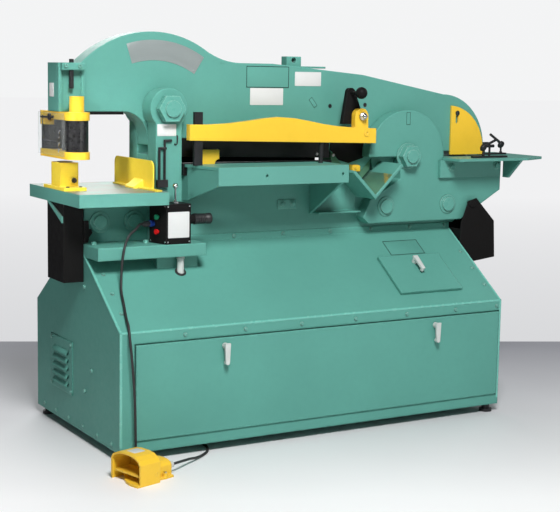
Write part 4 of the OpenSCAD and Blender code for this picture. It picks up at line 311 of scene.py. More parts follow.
def trough_steel(name):
    """Old paint on the vee's faces: green, then a rubbed yellow band, then olive."""
    band_direction = (0.863, -0.505, 0)
    s = Shader(name)
    across = s.add("ShaderNodeVectorMath", {0: s.place, 1: band_direction}, operation="DOT_PRODUCT")
    rub = s.noise(45.0, 4.0, 0.6, (1.0, 0.12, 1.0))
    stripe = s.math("ADD", across.outputs["Value"], s.math("MULTIPLY", rub, 0.008))
    tone = s.mix(s.span(stripe, 0.474, 0.479), (0.12, 0.3, 0.2, 1), (0.62, 0.46, 0.07, 1))
    tone = s.mix(s.span(stripe, 0.488, 0.496), tone, (0.32, 0.34, 0.11, 1))
    tone = s.mix(s.math("MULTIPLY", s.span(rub, 0.45, 0.75), 0.5), tone, (0.2, 0.26, 0.16, 1))
    s.set(Base_Color=tone, Metallic=0.1, Roughness=s.span(rub, 0.3, 0.7, 0.35, 0.55))
    s.set(Normal=s.bump(rub, 0.0001, 0.5))
    return s.material


GREEN = (0.112, 0.345, 0.288)
YELLOW = (0.9, 0.565, 0.04)
# A lighter copy of the yellow for the die block and table guard: painted light on faces that catch more
# light.
LIT_YELLOW = (0.97, 0.72, 0.06)
BLACK = (0.011, 0.0105, 0.0105)
STEEL = (0.36, 0.36, 0.355)

# Wide, strong edge settings paint light along the sheet's folds and corners: a painted highlight, partly
# wear.
sheet_green = enamel("green_sheet_enamel", GREEN, 0.38, 0.0002, edge_wear_highlight=1.0, edge=0.011, shine=0.1, coat=0.0)
plate_green = enamel("green_plate_enamel", GREEN, 0.38, 0.0003, wave=2.0, edge_wear_highlight=0.8, edge=0.008, shine=0.25)
# A darker copy of the green for the angle blade: painted shade, standing for the shadow inside the vee.
shade_green = enamel("green_enamel_painted_shade", (0.1, 0.24, 0.15), 0.5, 0.0003, shine=0.1, coat=0.0)
# The pale edge colour of the bolts is mostly a painted highlight on nuts and bosses, partly worn paint.
bolt_green = enamel("green_bolt_enamel", tint(GREEN, 1.05)[:3], 0.28, 0.0002, edge_wear_highlight=0.9, edge=0.005,
                    bare=(0.4, 0.66, 0.58, 1))
label_green = enamel("green_label_enamel", GREEN, 0.34, 0.0001, edge_wear_highlight=0.2, edge=0.001, shade_in_corners=0.0)
# A lighter, glossier copy of the green for the cabinet's round folds: a painted highlight.
fold_highlight_green = enamel("green_fold_painted_highlight", tint(GREEN, 1.45)[:3], 0.24, 0.0001, edge_wear_highlight=0.2, edge=0.001, shine=0.6)
table_green = worn_table("green_table_worn", GREEN, (0.3, 0.305, 0.275), 0.9)
light_table = worn_table("green_table_lightly_worn", GREEN, (0.42, 0.45, 0.42), 0.2)
yellow_enamel = enamel("yellow_enamel", YELLOW, 0.34, 0.0002, edge_wear_highlight=0.35, bare=(0.95, 0.8, 0.35, 1), shade_in_corners=0.2)
# Painted light: the lighter yellow of the die block and table guard.
lit_yellow = enamel("yellow_enamel_painted_light", LIT_YELLOW, 0.34, 0.0002, edge_wear_highlight=0.35, bare=(0.95, 0.85, 0.4, 1),
                      shade_in_corners=0.2)
black_enamel = enamel("black_enamel", BLACK, 0.46, 0.0002, edge_wear_highlight=0.25, bare=(0.1, 0.1, 0.1, 1), shine=0.06,
                      coat=0.0)
grey_enamel = enamel("grey_enamel", (0.11, 0.115, 0.12), 0.42, 0.0003)
tool_steel = machined("ground_tool_steel", STEEL)
# The blades' rim factor of 9 paints a bright highlight line along their edges.
blade_steel = machined("dark_blade_steel", (0.03, 0.03, 0.031), 0.42, (0.05, 1.0, 1.0), 0.003, 9.0)
dark_steel = black_oxide("black_oxide_steel", (0.022, 0.022, 0.024), 0.42)
cast_iron = machined("cast_iron", (0.09, 0.09, 0.092), 0.55, (1, 1, 1))
chrome_plate = chrome("chrome_plate")
grey_plastic = plastic("grey_plastic", (0.58, 0.61, 0.59), 0.42)
black_plastic = plastic("black_plastic", (0.014, 0.014, 0.015), 0.42)
blue_plastic = plastic("blue_plastic", (0.012, 0.05, 0.32), 0.3)
green_plastic = plastic("green_plastic", (0.02, 0.28, 0.14), 0.25)
red_plastic = plastic("red_plastic", (0.62, 0.012, 0.012), 0.25)
black_rubber = rubber("black_rubber")
sleeve_rubber = rubber("sleeve_rubber", (0.01, 0.01, 0.011), 0.28, rubbed_sheen_streak=0.6)
white_plate = satin_plate("white_blank_plate", (0.7, 0.71, 0.7), 0.36)
silver_plate = satin_plate("silver_blank_plate", (0.38, 0.43, 0.425), 0.34, 0.5)
trough_face = trough_steel("rubbed_trough_steel")
clear = clear_sheet("clear_polycarbonate")

CAD_LOOKS = {
    sheet_green: ("cabinet_panels", "front_door", "slope_door", "vent_plate"),
    plate_green: ("base_frame", "bed_plate", "side_plates", "beam", "link_straps", "punch_head",
                  "strap_ledge", "angle_trough"),
    shade_green: ("angle_blade",),
    lit_yellow: ("die_block", "table_guard"),
    bolt_green: ("main_pivot_pin", "tie_bolts", "strap_pin", "cabinet_screws"),
    table_green: ("punch_table",),
    light_table: ("shear_table", "notcher_table"),
    yellow_enamel: ("bar_die", "stripper_yoke", "stripper_foot", "hold_down_bar",
                    "notcher_guard", "pedal_housing", "treadle"),
    black_enamel: ("left_chute", "right_chute", "control_box", "crank_lever"),
    grey_enamel: ("hydraulic_tank", "pump_motor", "cylinder_barrel"),
    tool_steel: ("punch_die", "notch_die", "notch_blade"),
    blade_steel: ("lower_shear_blade", "upper_shear_blade"),
    dark_steel: ("leveling_feet", "hold_down_posts", "punch", "hex_keys", "gauge_side", "gauge_back"),
    cast_iron: ("hydraulic_pump",),
    chrome_plate: ("cylinder_rod", "toggle_lever"),
    grey_plastic: ("conduit", "front_latch_left", "front_latch_right", "slope_latch", "pedal_gland"),
    blue_plastic: ("cable_connector",),
    green_plastic: ("green_button",),
    red_plastic: ("red_button",),
    sleeve_rubber: ("stripper_sleeves",),
    black_rubber: ("foot_cable",),
}


def dress_cad():
    """Gives every CAD node its material."""
    for material, names in CAD_LOOKS.items():
        for name in names:
            piece = nodes[name]
            piece.data.materials.clear()
            piece.data.materials.append(material)


dress_cad()

# Mesh helpers: places are matrices from millimetres on a face to the frame


def facing(x, y, z, across, up):
    """A place at a point, with its own across and up directions; its third axis looks out of the face."""
    a, b = Vector(across).normalized(), Vector(up).normalized()
    turn = Matrix((a, b, a.cross(b))).transposed().to_4x4()
    return Matrix.Translation((x, y, z)) @ turn


def front(x, y, z, turn=0.0):
    """A place on a face that looks to the front."""
    c, s = math.cos(math.radians(turn)), math.sin(math.radians(turn))
    return facing(x, y, z, (c, 0, s), (-s, 0, c))


def left(x, y, z):
    """A place on a face that looks to the left."""
    return facing(x, y, z, (0, -1, 0), (0, 0, 1))


def top(x, y, z):
    """A place on a face that looks up."""
    return facing(x, y, z, (1, 0, 0), (0, 1, 0))


SLOPE_FOOT_Y = -440
SLOPE_FOOT_Z = 498
SLOPE_RISE, SLOPE_RUN = 277, 390
SLOPE_ANGLE = math.atan2(SLOPE_RISE, SLOPE_RUN)


def slope(x, along):
    """A place on the front slope, so far up it from the fold."""
    c, s = math.cos(SLOPE_ANGLE), math.sin(SLOPE_ANGLE)
    return facing(x, SLOPE_FOOT_Y + along * c, SLOPE_FOOT_Z + along * s, (1, 0, 0), (0, c, s))


def rounded_rectangle(width, height, radius, steps=5):
    """Outline of a rectangle round its middle with round corners."""
    points = []
    for k, (sx, sy) in enumerate(((1, 1), (-1, 1), (-1, -1), (1, -1))):
        for i in range(steps + 1):
            angle = math.radians(90 * (k + i / steps))
            points.append((sx * (width / 2 - radius) + radius * math.cos(angle),
                           sy * (height / 2 - radius) + radius * math.sin(angle)))
    return points


def join_rings(bm, pairs):
    """Adds a band of faces between the two rings of each pair."""
    for low, high in pairs:
        count = len(low)
        for i in range(count):
            j = (i + 1) % count
            bm.faces.new((low[i], low[j], high[j], high[i]))


def add_skin(bm, rings):
    """Joins a row of rings and closes both ends."""
    join_rings(bm, zip(rings, rings[1:]))
    bm.faces.new(list(reversed(rings[0])))
    bm.faces.new(rings[-1])


def flat_ring(bm, outline, height, place):
    """Points of an outline at one height over the place."""
    return [bm.verts.new(place @ Vector((u, v, height))) for u, v in outline]


def turned_ring(bm, place, radius, height, steps, turn=0.0):
    """Points round the place's third axis."""
    angles = [turn + 2 * math.pi * i / steps for i in range(steps)]
    points = [Vector((radius * math.cos(a), radius * math.sin(a), height)) for a in angles]
    return [bm.verts.new(place @ point) for point in points]


def bar_ring(bm, spot, side, up, radius, sides):
    """Points round a bar at one spot of its line."""
    angles = [2 * math.pi * k / sides for k in range(sides)]
    return [bm.verts.new(spot + radius * (math.cos(a) * side + math.sin(a) * up)) for a in angles]


def add_prism(bm, outline, low, high, place):
    """Adds a closed prism over an outline."""
    add_skin(bm, [flat_ring(bm, outline, n, place) for n in (low, high)])


def add_frame(bm, outer, inner, low, high, place):
    """Adds a closed ring between two outlines with as many points each."""
    out_low, out_high = (flat_ring(bm, outer, n, place) for n in (low, high))
    in_low, in_high = (flat_ring(bm, inner, n, place) for n in (low, high))
    join_rings(bm, ((out_low, out_high), (in_high, in_low), (out_high, in_high), (in_low, out_low)))


def add_lathe(bm, profile, place, steps=32, turn=0.0):
    """Adds a closed turned shape from a profile of radius and height."""
    add_skin(bm, [turned_ring(bm, place, r, h, steps, turn) for r, h in profile])


def add_tube(bm, points, radius, sides=10):
    """Adds a closed round bar along points in the frame."""
    p = [Vector(q) for q in points]
    side = (p[1] - p[0]).normalized().orthogonal().normalized()
    rings = []
    for i, spot in enumerate(p):
        along = (p[min(i + 1, len(p) - 1)] - p[max(i - 1, 0)]).normalized()
        side = (side - along * side.dot(along)).normalized()
        rings.append(bar_ring(bm, spot, side, along.cross(side), radius, sides))
    add_skin(bm, rings)


def add_weld(bm, start, stop, radius, sides=8):
    """Adds a weld bead: a bar whose ripples follow each other along a seam."""
    pitch_share, hollow_share, end_share = 0.8, 0.8, 0.4
    a, b = Vector(start), Vector(stop)
    steps = max(4, int((b - a).length / (radius * pitch_share)))
    along = (b - a).normalized()
    side = along.orthogonal().normalized()
    rings = []
    for i in range(steps + 1):
        swell = radius * (1.0 if i % 2 else hollow_share) * (end_share if i in (0, steps) else 1.0)
        rings.append(bar_ring(bm, a + (b - a) * i / steps, side, along.cross(side), swell, sides))
    add_skin(bm, rings)


HEAD_STEPS = 28


def add_washer(bm, place, radius, hole, height):
    """Adds a flat ring with a chamfered rim."""
    rim_height, rim_run = height * 0.6, height * 0.4
    profile = [(hole, 0), (radius, 0), (radius, rim_height), (radius - rim_run, height), (hole, height)]
    rings = [turned_ring(bm, place, r, h, HEAD_STEPS) for r, h in profile]
    join_rings(bm, zip(rings, rings[1:] + rings[:1]))


def add_hex_head(bm, place, across, height, turn=0.0):
    """Adds a hexagon head with a chamfered top on a thin washer face."""
    radius = across / 2 / math.cos(math.pi / 6)
    face_radius, face_height = across * 0.62, height * 0.16
    chamfer_share = 0.86
    add_lathe(bm, [(face_radius, 0), (face_radius, face_height)], place, HEAD_STEPS)
    head = [(radius, face_height), (radius, height * chamfer_share), (radius * chamfer_share, height)]
    add_lathe(bm, head, place, 6, turn)


def add_socket_head(bm, place, radius, height):
    """Adds a socket screw head with a chamfered top edge and a round pocket."""
    rim = [(1, 0), (1, 0.8), (0.9, 1)]
    pocket = [(0.55, 1), (0.5, 0.45)]
    add_lathe(bm, [(radius * r, height * h) for r, h in rim + pocket], place, HEAD_STEPS)


def add_dome_head(bm, place, radius, height):
    """Adds a low dome head, as on a rivet."""
    steps, arc = 6, 85
    angles = [math.radians(arc * i / steps) for i in range(steps + 1)]
    add_lathe(bm, [(radius * math.cos(a), height * math.sin(a)) for a in angles], place, 24)


SHARP_ANGLE = math.radians(35)


def make_piece(name, bm, material, body, bevel=0.0):
    """Turns a mesh in millimetres into a piece that rides on a body."""
    bmesh.ops.recalc_face_normals(bm, faces=bm.faces)
    if bevel:
        edges = [e for e in bm.edges if e.is_manifold and e.calc_face_angle() > SHARP_ANGLE]
        bmesh.ops.bevel(bm, geom=edges, offset=bevel, segments=2, profile=0.5, affect="EDGES",
                        clamp_overlap=True)
        bmesh.ops.recalc_face_normals(bm, faces=bm.faces)
    for face in bm.faces:
        face.smooth = True
    data = bpy.data.meshes.new(name)
    bm.to_mesh(data)
    bm.free()
    data.transform(Matrix.Scale(MM, 4))
    data.set_sharp_from_angle(angle=SHARP_ANGLE)
    data.materials.append(material)
    piece = bpy.data.objects.new(name, data)
    scene.collection.objects.link(piece)
    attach(piece, body)


# Foot switch lead in metres, on the route that the CAD cable takes

LEAD_DIAMETER = 0.010
LEAD_STEPS = 6
LEAD_ROUTE_METRES = [
    (-0.6826, -0.1663, 0.8680), (-0.7016, -0.1725, 0.8680), (-0.7290, -0.1890, 0.8496),
    (-0.7650, -0.2124, 0.8298), (-0.7938, -0.2385, 0.7938), (-0.8082, -0.2466, 0.7344),
    (-0.8154, -0.2538, 0.6696), (-0.8262, -0.2799, 0.6264), (-0.8388, -0.3294, 0.5904),
    (-0.8532, -0.3825, 0.5526), (-0.8658, -0.4383, 0.5193), (-0.8703, -0.4608, 0.4752),
    (-0.8676, -0.4689, 0.4230), (-0.8622, -0.4698, 0.3600), (-0.8568, -0.4698, 0.2880),
    (-0.8532, -0.4698, 0.2160), (-0.8514, -0.4698, 0.1440), (-0.8496, -0.4680, 0.0846),
    (-0.8442, -0.4572, 0.0396), (-0.8316, -0.4320, 0.0117), (-0.8100, -0.3942, 0.0063),
    (-0.7704, -0.3456, 0.0063), (-0.7164, -0.3060, 0.0063), (-0.6516, -0.2826, 0.0063),
    (-0.5868, -0.2790, 0.0063), (-0.5328, -0.2988, 0.0063), (-0.5058, -0.3420, 0.0063),
    (-0.5112, -0.3924, 0.0063), (-0.5346, -0.4410, 0.0063), (-0.5760, -0.4824, 0.0067),
    (-0.6228, -0.5184, 0.0108), (-0.6660, -0.5508, 0.0207), (-0.7528, -0.6149, 0.0340),
    (-0.7721, -0.6200, 0.0340)]


def smooth_route(points, steps):
    """Points along one smooth curve through the given ones."""
    p = [Vector(q) for q in points]
    p = [2 * p[0] - p[1], *p, 2 * p[-1] - p[-2]]
    made = []
    for i in range(1, len(p) - 2):
        for k in range(steps):
            t = k / steps
            a, b, c, d = p[i - 1:i + 3]
            made.append(0.5 * (2 * b + (c - a) * t + (2 * a - 5 * b + 4 * c - d) * t * t
                               + (3 * b - a - 3 * c + d) * t ** 3))
    return made + [p[-2]]


def make_lead():
    """The lead as one round curve that stands for the CAD cable."""
    points = smooth_route(LEAD_ROUTE_METRES, LEAD_STEPS)
    curve = bpy.data.curves.new("foot_switch_lead", "CURVE")
    curve.dimensions = "3D"
    curve.bevel_depth = LEAD_DIAMETER / 2
    curve.bevel_resolution = 4
    curve.use_fill_caps = True
    line = curve.splines.new("POLY")
    line.points.add(len(points) - 1)
    for spot, place in zip(line.points, points):
        spot.co = (*place, 1.0)
    curve.materials.append(black_rubber)
    lead = bpy.data.objects.new("foot_switch_lead", curve)
    scene.collection.objects.link(lead)
    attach(lead, "base")
    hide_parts("foot_cable")


make_lead()

# Blank plates where the machine carries signs

BEAM_FACE = -49
STRAP_FACE = -129
BOX_FACE = -225
DISC_FACE = -110
ARM_END = -993
PLATE_THICK = 1.2
PLATE_BEVEL = 0.3
PLATE_CORNER = 3
RIVET_INSET = 6
LINE_CORNER = 2
LINE_HEIGHT = 0.3
THIN_LINE = 1.4


def blank_plate(name, width, height, place, body):
    """A thin white plate with round corners and a rivet in each corner."""
    bm = bmesh.new()
    add_prism(bm, rounded_rectangle(width, height, PLATE_CORNER), 0, PLATE_THICK, place)
    for u in (-1, 1):
        for v in (-1, 1):
            shift = (u * (width / 2 - RIVET_INSET), v * (height / 2 - RIVET_INSET), PLATE_THICK)
            add_dome_head(bm, place @ Matrix.Translation(shift), radius=2.2, height=1.2)
    make_piece(name, bm, white_plate, body, bevel=PLATE_BEVEL)


def outlined_plate(name, width, height, place, body, line=2.4):
    """A green plate with a dark outline just inside its edge."""
    bm = bmesh.new()
    add_prism(bm, rounded_rectangle(width, height, LINE_CORNER), 0, PLATE_THICK, place)
    make_piece(name, bm, label_green, body, bevel=PLATE_BEVEL)
    bm = bmesh.new()
    outer, inner = (rounded_rectangle(width - k * line, height - k * line, LINE_CORNER) for k in (1, 3))
    add_frame(bm, outer, inner, PLATE_THICK, PLATE_THICK + LINE_HEIGHT, place)
    make_piece(name + "_outline", bm, black_enamel, body)


def make_banner():
    """A blank curved plate that follows the hump of the beam."""
    middle_x, middle_z = -585, 1182
    inner, outer = 322, 402
    first, last, steps = -17.5, 33.0, 28
    rivet_inset = 9
    angles = [math.radians(first + (last - first) * i / steps) for i in range(steps + 1)]
    outline = [(outer * math.sin(a), outer * math.cos(a)) for a in reversed(angles)]
    outline += [(inner * math.sin(a), inner * math.cos(a)) for a in angles]
    bm = bmesh.new()
    place = front(middle_x, BEAM_FACE, middle_z)
    add_prism(bm, outline, 0, PLATE_THICK, place)
    for a in (angles[1], angles[-2]):
        for r in (inner + rivet_inset, outer - rivet_inset):
            shift = (r * math.sin(a), r * math.cos(a), PLATE_THICK)
            add_dome_head(bm, place @ Matrix.Translation(shift), radius=3, height=1.4)
    make_piece("hump_blank_banner", bm, silver_plate, "beam", bevel=PLATE_BEVEL)


def make_plates():
    """The plates, each with its width, height, place and body."""
    make_banner()
    outlined_plate("beam_outlined_plate", 205, 90, front(-68, BEAM_FACE, 1445), "beam")
    blank_plate("beam_white_plate_left", 158, 70, front(-72, BEAM_FACE, 1364), "beam")
    blank_plate("beam_white_plate_right", 129, 59, front(128, BEAM_FACE, 1439), "beam")
    outlined_plate("beam_small_mark", 20, 46, front(155, BEAM_FACE, 1340, turn=38), "beam", THIN_LINE)
    blank_plate("strap_white_plate", 82, 47, front(-568, STRAP_FACE, 1232), "straps")
    blank_plate("box_white_plate", 92, 102, front(-559.5, BOX_FACE, 866), "base")
    blank_plate("arm_end_plate", 46, 53, left(ARM_END, 7, 1384), "beam")
    outlined_plate("slope_outlined_plate", 184, 92, slope(582, 364), "base")
    outlined_plate("disc_slot_mark", 22, 56, front(611, DISC_FACE, 1274), "base", THIN_LINE)


make_plates()

# Trim that the solids leave out

UP = (0, 0, 1)
BOX_CORNER_X = -613
SIDE_ACROSS = (0.31, -0.951, 0)
PEDAL_X, PEDAL_Y, PEDAL_TURN = -969, -650, 15
PEDAL_PLACE = Matrix.Translation((PEDAL_X, PEDAL_Y, 0)) @ Matrix.Rotation(math.radians(PEDAL_TURN), 4, "Z")
PUNCH_X = -944
CABINET_END = -900
TABLE_BACK = -52


def box_side(across, z):
    """A place on the slanted button side of the control box, so far from its front edge."""
    x, y = BOX_CORNER_X - across * SIDE_ACROSS[0], BOX_FACE - across * SIDE_ACROSS[1]
    return facing(x, y, z, SIDE_ACROSS, UP)


def on_pedal(along, across, z):
    """A place on the foot switch that looks up."""
    return PEDAL_PLACE @ top(along, across, z)


def hex_bolts(name, places, material, body, across, height):
    """Hexagon bolts, each on its washer face and turned by a different amount."""
    bm = bmesh.new()
    for i, place in enumerate(places):
        add_hex_head(bm, place, across, height, turn=0.3 + 0.7 * i)
    make_piece(name, bm, material, body, bevel=across * 0.02)


def socket_bolts(name, places, material, body, radius, height):
    """Socket screws with their pockets."""
    bm = bmesh.new()
    for place in places:
        add_socket_head(bm, place, radius, height)
    make_piece(name, bm, material, body)


def make_bolts():
    """Bolts and screws seen on the machine."""
    apron_face, washer_height = -128, 3
    apron_spots = ((843, 1057), (1100, 1059))
    bm = bmesh.new()
    for x, z in apron_spots:
        add_washer(bm, front(x, apron_face, z), radius=19, hole=9, height=washer_height)
    make_piece("notcher_apron_washers", bm, bolt_green, "base")
    places = [front(x, apron_face - washer_height, z) for x, z in apron_spots]
    hex_bolts("notcher_apron_bolts", places, bolt_green, "base", across=24, height=10)
    ledge_top = 790
    places = [top(x, y, ledge_top) for x, y in ((-874, -123), (-663, -144))]
    hex_bolts("ledge_bolts", places, bolt_green, "base", across=19, height=13)
    places = [left(CABINET_END, y, z) for y, z in ((-166, 303), (-94, 208), (-96, 623))]
    hex_bolts("end_bolts", places, bolt_green, "base", across=14, height=7)
    head_face, head_bolt_z = -89, 1476
    places = [front(x, head_face, head_bolt_z) for x in (-972, -916)]
    socket_bolts("punch_head_bolts", places, bolt_green, "beam", radius=8, height=6)
    screw_levels = (799, 939)
    places = [box_side(across, z) for across in (7, 88) for z in screw_levels]
    places += [front(x, BOX_FACE, z) for x in (-606, -513) for z in screw_levels]
    socket_bolts("box_screws", places, chrome_plate, "base", radius=3.4, height=2)
    places = [front(x=-930, y=-62, z=1037)]
    hex_bolts("die_set_bolt", places, dark_steel, "base", across=17, height=9)
    places = [top(PUNCH_X + shift, y=-98, z=1013) for shift in (-26, 26)]
    socket_bolts("die_flange_bolts", places, dark_steel, "base", radius=7, height=4)
    places = [front(x, BEAM_FACE, z) for x, z in ((179, 1122), (262, 1116), (-300, 1142))]
    hex_bolts("blade_bolts", places, tool_steel, "beam", across=13, height=5)


def make_bed_bolt_plate():
    """The small plate on the bed with its two bolts."""
    thick, rise = 5, 3
    plate = front(x=33.5, y=-50, z=911)
    bm = bmesh.new()
    add_prism(bm, rounded_rectangle(width=95, height=40, radius=8), 0, thick, plate)
    for shift in (-23.5, 27.5):
        spot = plate @ Matrix.Translation((shift, rise, thick))
        add_washer(bm, spot, radius=13, hole=8, height=3)
        add_hex_head(bm, spot, across=15, height=8)
    make_piece("bed_bolt_plate", bm, bolt_green, "base", bevel=0.6)


def make_beam_trim():
    """Small parts on the beam and the straps."""
    strip = [(-77, -6), (77, -6), (74, 6), (-77, 6)]
    strip_width, strip_y = 29, -20
    bm = bmesh.new()
    add_prism(bm, strip, 0, strip_width, front(-793, strip_y, 1296))
    make_piece("arm_guide_strip", bm, black_enamel, "beam", bevel=1.5)
    bm = bmesh.new()
    rim, hole = 9, 6.5
    for x, z in ((241, 1326), (421, 1331)):
        add_washer(bm, front(x, BEAM_FACE, z), rim, hole, height=1.0)
        add_lathe(bm, [(hole, 0), (hole, 0.3), (1.5, 0.5)], front(x, BEAM_FACE, z), 20)
    make_piece("beam_tapped_holes", bm, dark_steel, "beam")
    # A black plate over the mouth: partly a black tool plate, partly painted shade that stands for the deep
    # shadow there.
    middle_x, middle_z, thick = 350, 1130, 3
    keeper_and_shade_outline = [(243, 1141), (290, 1094), (340, 1080), (412, 1100), (455, 1134), (455, 1226), (243, 1226)]
    outline = [(x - middle_x, z - middle_z) for x, z in keeper_and_shade_outline]
    bm = bmesh.new()
    add_prism(bm, outline, 0, thick, front(middle_x, BEAM_FACE, middle_z))
    make_piece("angle_blade_keeper_and_shade", bm, black_enamel, "beam", bevel=0.8)
    cap = [(11, 0), (11, 3), (8, 4.5), (8, 5.5), (3, 6.2)]
    bm = bmesh.new()
    add_lathe(bm, cap, front(x=918, y=-60.6, z=1296), 28)
    make_piece("guard_bolt_cap", bm, dark_steel, "beam")
    hook_y = -134
    bend = [(-523, 1184), (-525, 1177), (-531, 1174), (-536, 1178)]
    hook = [(-523, -127, 1210), (-523, -133, 1208)] + [(x, hook_y, z) for x, z in bend]
    bm = bmesh.new()
    add_tube(bm, hook, radius=2.6)
    make_piece("strap_hook", bm, dark_steel, "straps")


def make_hold_down_trim():
    """The dome nut on the crank and the plug in the hold-down bar."""
    dome = [(12, 10), (12, 15), (10.5, 19), (7, 22), (2, 23.2)]
    place = front(x=323, y=-183, z=1287)
    bm = bmesh.new()
    add_hex_head(bm, place, across=27, height=12)
    add_lathe(bm, dome, place, 28)
    make_piece("crank_dome_nut", bm, chrome_plate, "crank", bevel=0.4)
    place = front(x=350, y=-175, z=1215)
    hole = 5
    bm = bmesh.new()
    add_washer(bm, place, radius=15, hole=hole, height=3)
    add_lathe(bm, [(hole, 0), (hole, 1.2), (2, 0.8)], place, 20)
    make_piece("hold_down_plug", bm, yellow_enamel, "hold_down")


def make_trough_trim():
    """Rubbed faces of the vee and the yellow stop beside it."""
    apex_x, apex_y, apex_z = 372, -50, 955
    start, near, far, thick = 3, -95, 170, 0.8
    across = Vector((0, -1, 0))
    for name, sign, reach in (("left", -1, 96), ("right", 1, 122)):
        along = Vector((sign * math.sqrt(0.5), 0, math.sqrt(0.5)))
        axes = (along, across) if sign > 0 else (across, along)
        outline = [(start, near), (reach, near), (reach, far), (start, far)]
        if sign < 0:
            outline = [(v, u) for u, v in reversed(outline)]
        bm = bmesh.new()
        add_prism(bm, outline, 0, thick, facing(apex_x, apex_y, apex_z, *axes))
        make_piece("trough_face_" + name, bm, trough_face, "base", bevel=0.3)
    stop_y, stop_z, stop_width = -51, 1059, 28
    stop = [(-20, -14), (20, -14), (20, 8), (12, 14), (-20, 14)]
    bm = bmesh.new()
    add_prism(bm, stop, 0, stop_width, front(365, stop_y, stop_z))
    add_socket_head(bm, front(359, stop_y - stop_width, stop_z), radius=6, height=4)
    make_piece("trough_stop", bm, yellow_enamel, "base", bevel=1.2)


def ribs(count, first, pitch, groove, crest, heights):
    """Profile of ribs along a turned shape; heights are those of each rib's four points."""
    radii = (groove, crest, crest, groove)
    return [(r, first + pitch * k + h) for k in range(count) for r, h in zip(radii, heights)]


def make_box_trim():
    """Fittings of the control box and its conduit."""
    profile = [(19.5, -58), (22, -57), (22, -46), (19.5, -45)]
    profile += ribs(4, first=-40, pitch=8, groove=19.3, crest=21, heights=(0, 2, 5, 7))
    profile += [(21, 0), (22, 2), (22, 16), (19, 19), (13, 19), (12, 6)]
    bm = bmesh.new()
    add_lathe(bm, profile, facing(-418, -185, 882, (0, 1, 0), UP), 32)
    make_piece("box_socket_rings", bm, black_plastic, "base")
    place = top(x=-564, y=-203, z=948)
    bm = bmesh.new()
    add_hex_head(bm, place, across=24, height=9)
    add_washer(bm, place, radius=10.5, hole=5.5, height=14)
    make_piece("toggle_nut", bm, chrome_plate, "base", bevel=0.3)
    profile = ribs(5, first=-27, pitch=5, groove=10.4, crest=11.6, heights=(0, 1, 3, 4))
    profile += [(10.2, -1), (8, 1), (5.6, 8)]
    bm = bmesh.new()
    add_lathe(bm, profile, facing(-682.6, -166.3, 868, SIDE_ACROSS, UP), 24)
    make_piece("connector_relief", bm, black_rubber, "base")
    conduit_x = -535
    bm = bmesh.new()
    add_washer(bm, slope(conduit_x, along=303), radius=23, hole=16, height=6)
    make_piece("conduit_grommet", bm, black_rubber, "base")
    bm = bmesh.new()
    for z in (729.5, 726.5):
        add_washer(bm, top(conduit_x, y=-193, z=z), radius=16.5, hole=14.1, height=12)
    make_piece("conduit_collar", bm, grey_plastic, "base")


def make_shield():
    """The clear shield beside the punch, with its hanger bar, thumb screw, wire bow and chain."""
    face, thick, radius = -1001, 3, 13
    low, high, rear_end, right_end = 1134, 1296, 140, -958
    bend_x, bend_y = face + radius, -108
    turns = [math.radians(a) for a in range(0, 91, 15)]
    near = radius - thick
    outer, inner = ([(x, rear_end)] + [(bend_x - r * math.cos(t), bend_y - r * math.sin(t)) for t in turns]
                    for x, r in ((face, radius), (face + thick, near)))
    outline = outer + [(right_end, bend_y - radius), (right_end, bend_y - near)] + inner[::-1]
    bm = bmesh.new()
    add_prism(bm, outline, low, high, Matrix.Identity(4))
    make_piece("punch_shield", bm, clear, "beam", bevel=0.4)
    out = face - 4
    thumb_y, thumb_z = -14, 1281
    thumb = [(5, -6), (5, 4), (11, 5), (13, 7), (13, 13), (11, 15), (4, 16)]
    bm = bmesh.new()
    add_tube(bm, [(out, 96, 1278), (out, 40, 1279), (out, thumb_y, thumb_z)], radius=4)
    add_lathe(bm, thumb, left(face, thumb_y, thumb_z), 20)
    make_piece("shield_thumb_screw", bm, dark_steel, "beam")
    bow = [(74, 1240), (71, 1204), (62, 1193), (40, 1190), (-64, 1191)]
    bm = bmesh.new()
    add_tube(bm, [(out, 76, 1288)] + [(out - 1, y, z) for y, z in bow], radius=2.4, sides=8)
    make_piece("shield_wire", bm, chrome_plate, "beam")
    chain = [(-118, 1236), (-98, 1222), (-112, 1210), (-90, 1200), (-110, 1188), (-92, 1176),
             (-106, 1164), (-96, 1150)]
    step, sag = 3, 2
    bm = bmesh.new()
    for i, ((y, z), (v, w)) in enumerate(zip(chain, chain[1:])):
        x = out - step * (i % 2)
        add_tube(bm, [(x, y, z), (x - sag, (y + v) / 2, (z + w) / 2), (x, v, w)], radius=3.2, sides=8)
    make_piece("shield_chain", bm, chrome_plate, "beam")


HOOD_SHARES = [(-0.5, 0.03), (-0.5, 0.72), (-0.44, 0.86), (-0.3, 0.96), (-0.12, 1), (0.12, 1), (0.3, 0.96),
               (0.44, 0.86), (0.5, 0.72), (0.5, 0.03)]


